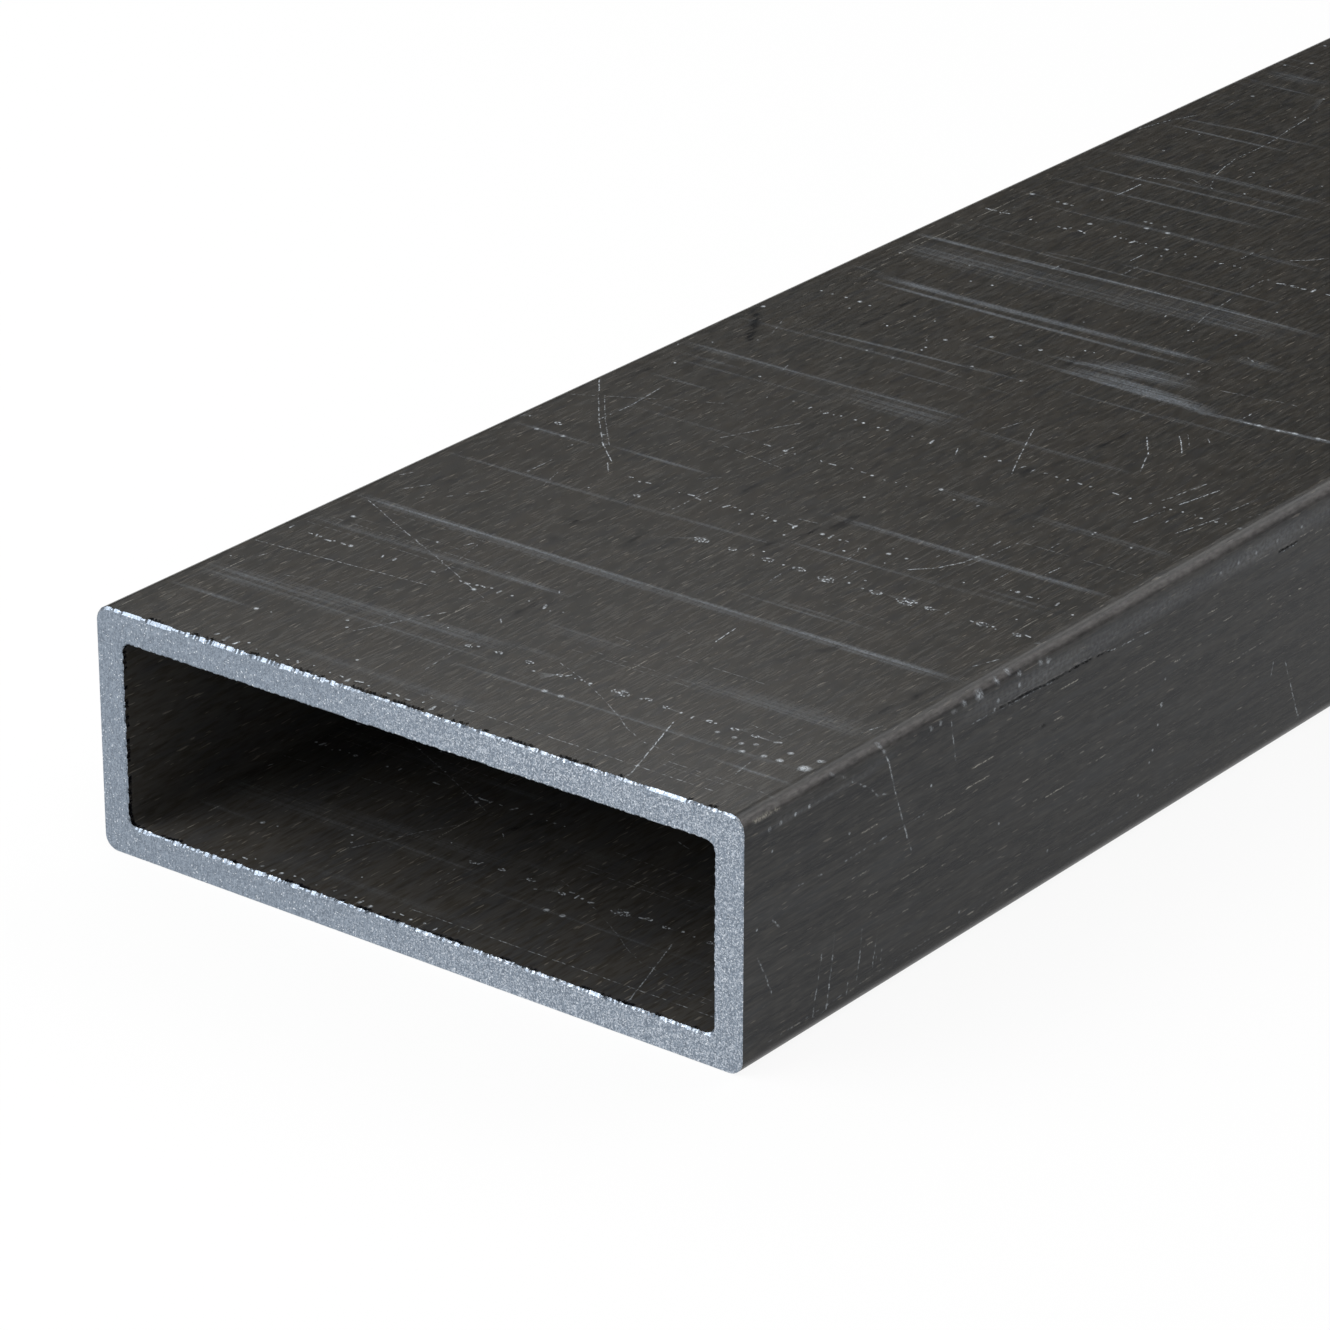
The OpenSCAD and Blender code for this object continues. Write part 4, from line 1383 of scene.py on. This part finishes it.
def build_tube():
    """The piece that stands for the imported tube."""
    outside = Outline(WIDTH, HEIGHT, OUTER_R, arc_steps=8, facing=1)
    inside = Outline(WIDTH - 2 * WALL, HEIGHT - 2 * WALL, INNER_R, arc_steps=6, facing=-1)
    coarse = {face: arc_stations(NEAR_RING_STEP, NEAR_RINGS_END) for face in FACES}
    fine = {"right": arc_stations(FINE_RING_STEP, FINE_ARC)}
    outer = Skin(outside, outside_marks(outside), {**coarse, **fine})
    bore = Skin(inside, bore_marks(inside), coarse)
    tube = TubeMesh()
    first_outer = lay_skin(tube, outer, 0)
    first_bore = lay_skin(tube, bore, 1)
    for seed, end in enumerate(("near", "far"), 31):
        outer_cut = lay_rim(tube, outer, first_outer, end, (0, 2), seed)
        bore_cut = lay_rim(tube, bore, first_bore, end, (1, 2), seed + 10)
        lay_cut(tube, outer_cut, bore_cut, end, 2, seed + 20)
    skins = (mill_skin("mill_skin", *OUTER_SCALE), mill_skin("bore_skin", *BORE_SCALE))
    piece = tube.make("tube_skin", (*skins, sawn_steel()))
    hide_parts("tube")
    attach(piece, "root")
    return piece


# The photograph's camera, and the pale floor
CAMERA_PLACE = (0.247383, -0.790064, 0.193986)
CAMERA_LOOK = (-0.55801, 0.72202, -0.40904)
CAMERA_ROLL = 0.07
CAMERA_LENS = 159.48
CAMERA_SENSOR = 36.0
CAMERA_NEAREST = 0.01
FLOOR_HALF = 20.0
FLOOR_COLOUR = (0.9, 0.9, 0.9)
FLOOR_WHITE = 0.92

# Soft boxes: place, what it looks at, width and height in metres, and radiance
NEAR_END = (0.0, -0.5, 0.01)
SOFT_BOXES = {
    "key": ((-0.30, -0.80, 0.34), NEAR_END, (0.5, 0.5), 3.4),
    "back": ((-1.465, 0.596, 1.47), NEAR_END, (1.38, 1.0), 2.3),
    "fill": ((-0.445, 1.01, 1.25), NEAR_END, (1.18, 0.78), 1.15),
    "edge": ((0.38, 0.83, 1.17), NEAR_END, (1.13, 0.9), 2.65),
}
# The room is pale in front of the tube and dim behind it
ROOM_FRONT = (0.1, -0.8, 0.5)
ROOM_LIGHT = 0.7
ROOM_DIM = 0.11
ROOM_EDGE = 0.9


def add_camera():
    data = bpy.data.cameras.new("camera")
    data.lens = CAMERA_LENS
    data.sensor_width = CAMERA_SENSOR
    data.clip_start = CAMERA_NEAREST
    camera = bpy.data.objects.new("camera", data)
    bpy.context.scene.collection.objects.link(camera)
    turn = Vector(CAMERA_LOOK).to_track_quat("-Z", "Y").to_matrix().to_4x4()
    roll = Matrix.Rotation(math.radians(CAMERA_ROLL), 4, "Z")
    camera.matrix_world = Matrix.Translation(CAMERA_PLACE) @ turn @ roll
    bpy.context.scene.camera = camera


def seen_directly(nodes):
    """1 for what the camera, a reflection or a clear material sees, and 0 for light that falls on things."""
    path = nodes.node("ShaderNodeLightPath")
    found = path.outputs["Is Camera Ray"]
    for name in ("Is Glossy Ray", "Is Transmission Ray"):
        found = nodes.most(found, path.outputs[name])
    return found


def floor_material():
    """A pale matt floor that is seen as nearly white and keeps a soft shadow."""
    material = bpy.data.materials.new("floor")
    material.use_nodes = True
    nodes = Nodes(material.node_tree)
    nodes.tree.nodes.clear()
    out = nodes.node("ShaderNodeOutputMaterial")
    mix = nodes.node("ShaderNodeMixShader")
    matt = nodes.node("ShaderNodeBsdfDiffuse")
    white = nodes.node("ShaderNodeEmission")
    nodes.feed(matt.inputs["Color"], FLOOR_COLOUR)
    nodes.feed(mix.inputs["Fac"], nodes.times(seen_directly(nodes), FLOOR_WHITE))
    nodes.feed(mix.inputs[1], matt.outputs["BSDF"])
    nodes.feed(mix.inputs[2], white.outputs["Emission"])
    nodes.feed(out.inputs["Surface"], mix.outputs["Shader"])
    return material


def add_floor():
    mesh = bpy.data.meshes.new("floor")
    corners = [(-1, -1), (1, -1), (1, 1), (-1, 1)]
    mesh.from_pydata([(x * FLOOR_HALF, y * FLOOR_HALF, 0) for x, y in corners], [], [(0, 1, 2, 3)])
    mesh.materials.append(floor_material())
    floor = bpy.data.objects.new("floor", mesh)
    bpy.context.scene.collection.objects.link(floor)


def add_soft_box(name, place, target, size, radiance):
    data = bpy.data.lights.new(name, "AREA")
    data.shape = "RECTANGLE"
    data.size, data.size_y = size
    data.energy = radiance * math.pi * size[0] * size[1]
    lamp = bpy.data.objects.new(name, data)
    bpy.context.scene.collection.objects.link(lamp)
    lamp.location = place
    lamp.rotation_euler = (Vector(target) - Vector(place)).to_track_quat("-Z", "Y").to_euler()


def add_room():
    """The room's own light, from in front of the tube. The camera sees the room as white."""
    world = bpy.data.worlds.new("room")
    bpy.context.scene.world = world
    world.use_nodes = True
    nodes = Nodes(world.node_tree)
    background = nodes.tree.nodes["Background"]
    nodes.feed(background.inputs["Color"], (1.0, 1.0, 1.0))
    facing = nodes.node("ShaderNodeVectorMath", operation="DOT_PRODUCT")
    facing.inputs[1].default_value = Vector(ROOM_FRONT).normalized()
    nodes.feed(facing.inputs[0], nodes.node("ShaderNodeTexCoord").outputs["Generated"])
    level = nodes.ramp(facing.outputs["Value"], 0.0, ROOM_EDGE, ROOM_DIM, ROOM_LIGHT)
    seen = nodes.most(nodes.node("ShaderNodeLightPath").outputs["Is Camera Ray"], level)
    nodes.feed(background.inputs["Strength"], seen)


build_tube()
add_floor()
add_camera()
add_room()
for box_name, box in SOFT_BOXES.items():
    add_soft_box(box_name, *box)
bpy.context.scene.view_settings.view_transform = "Standard"
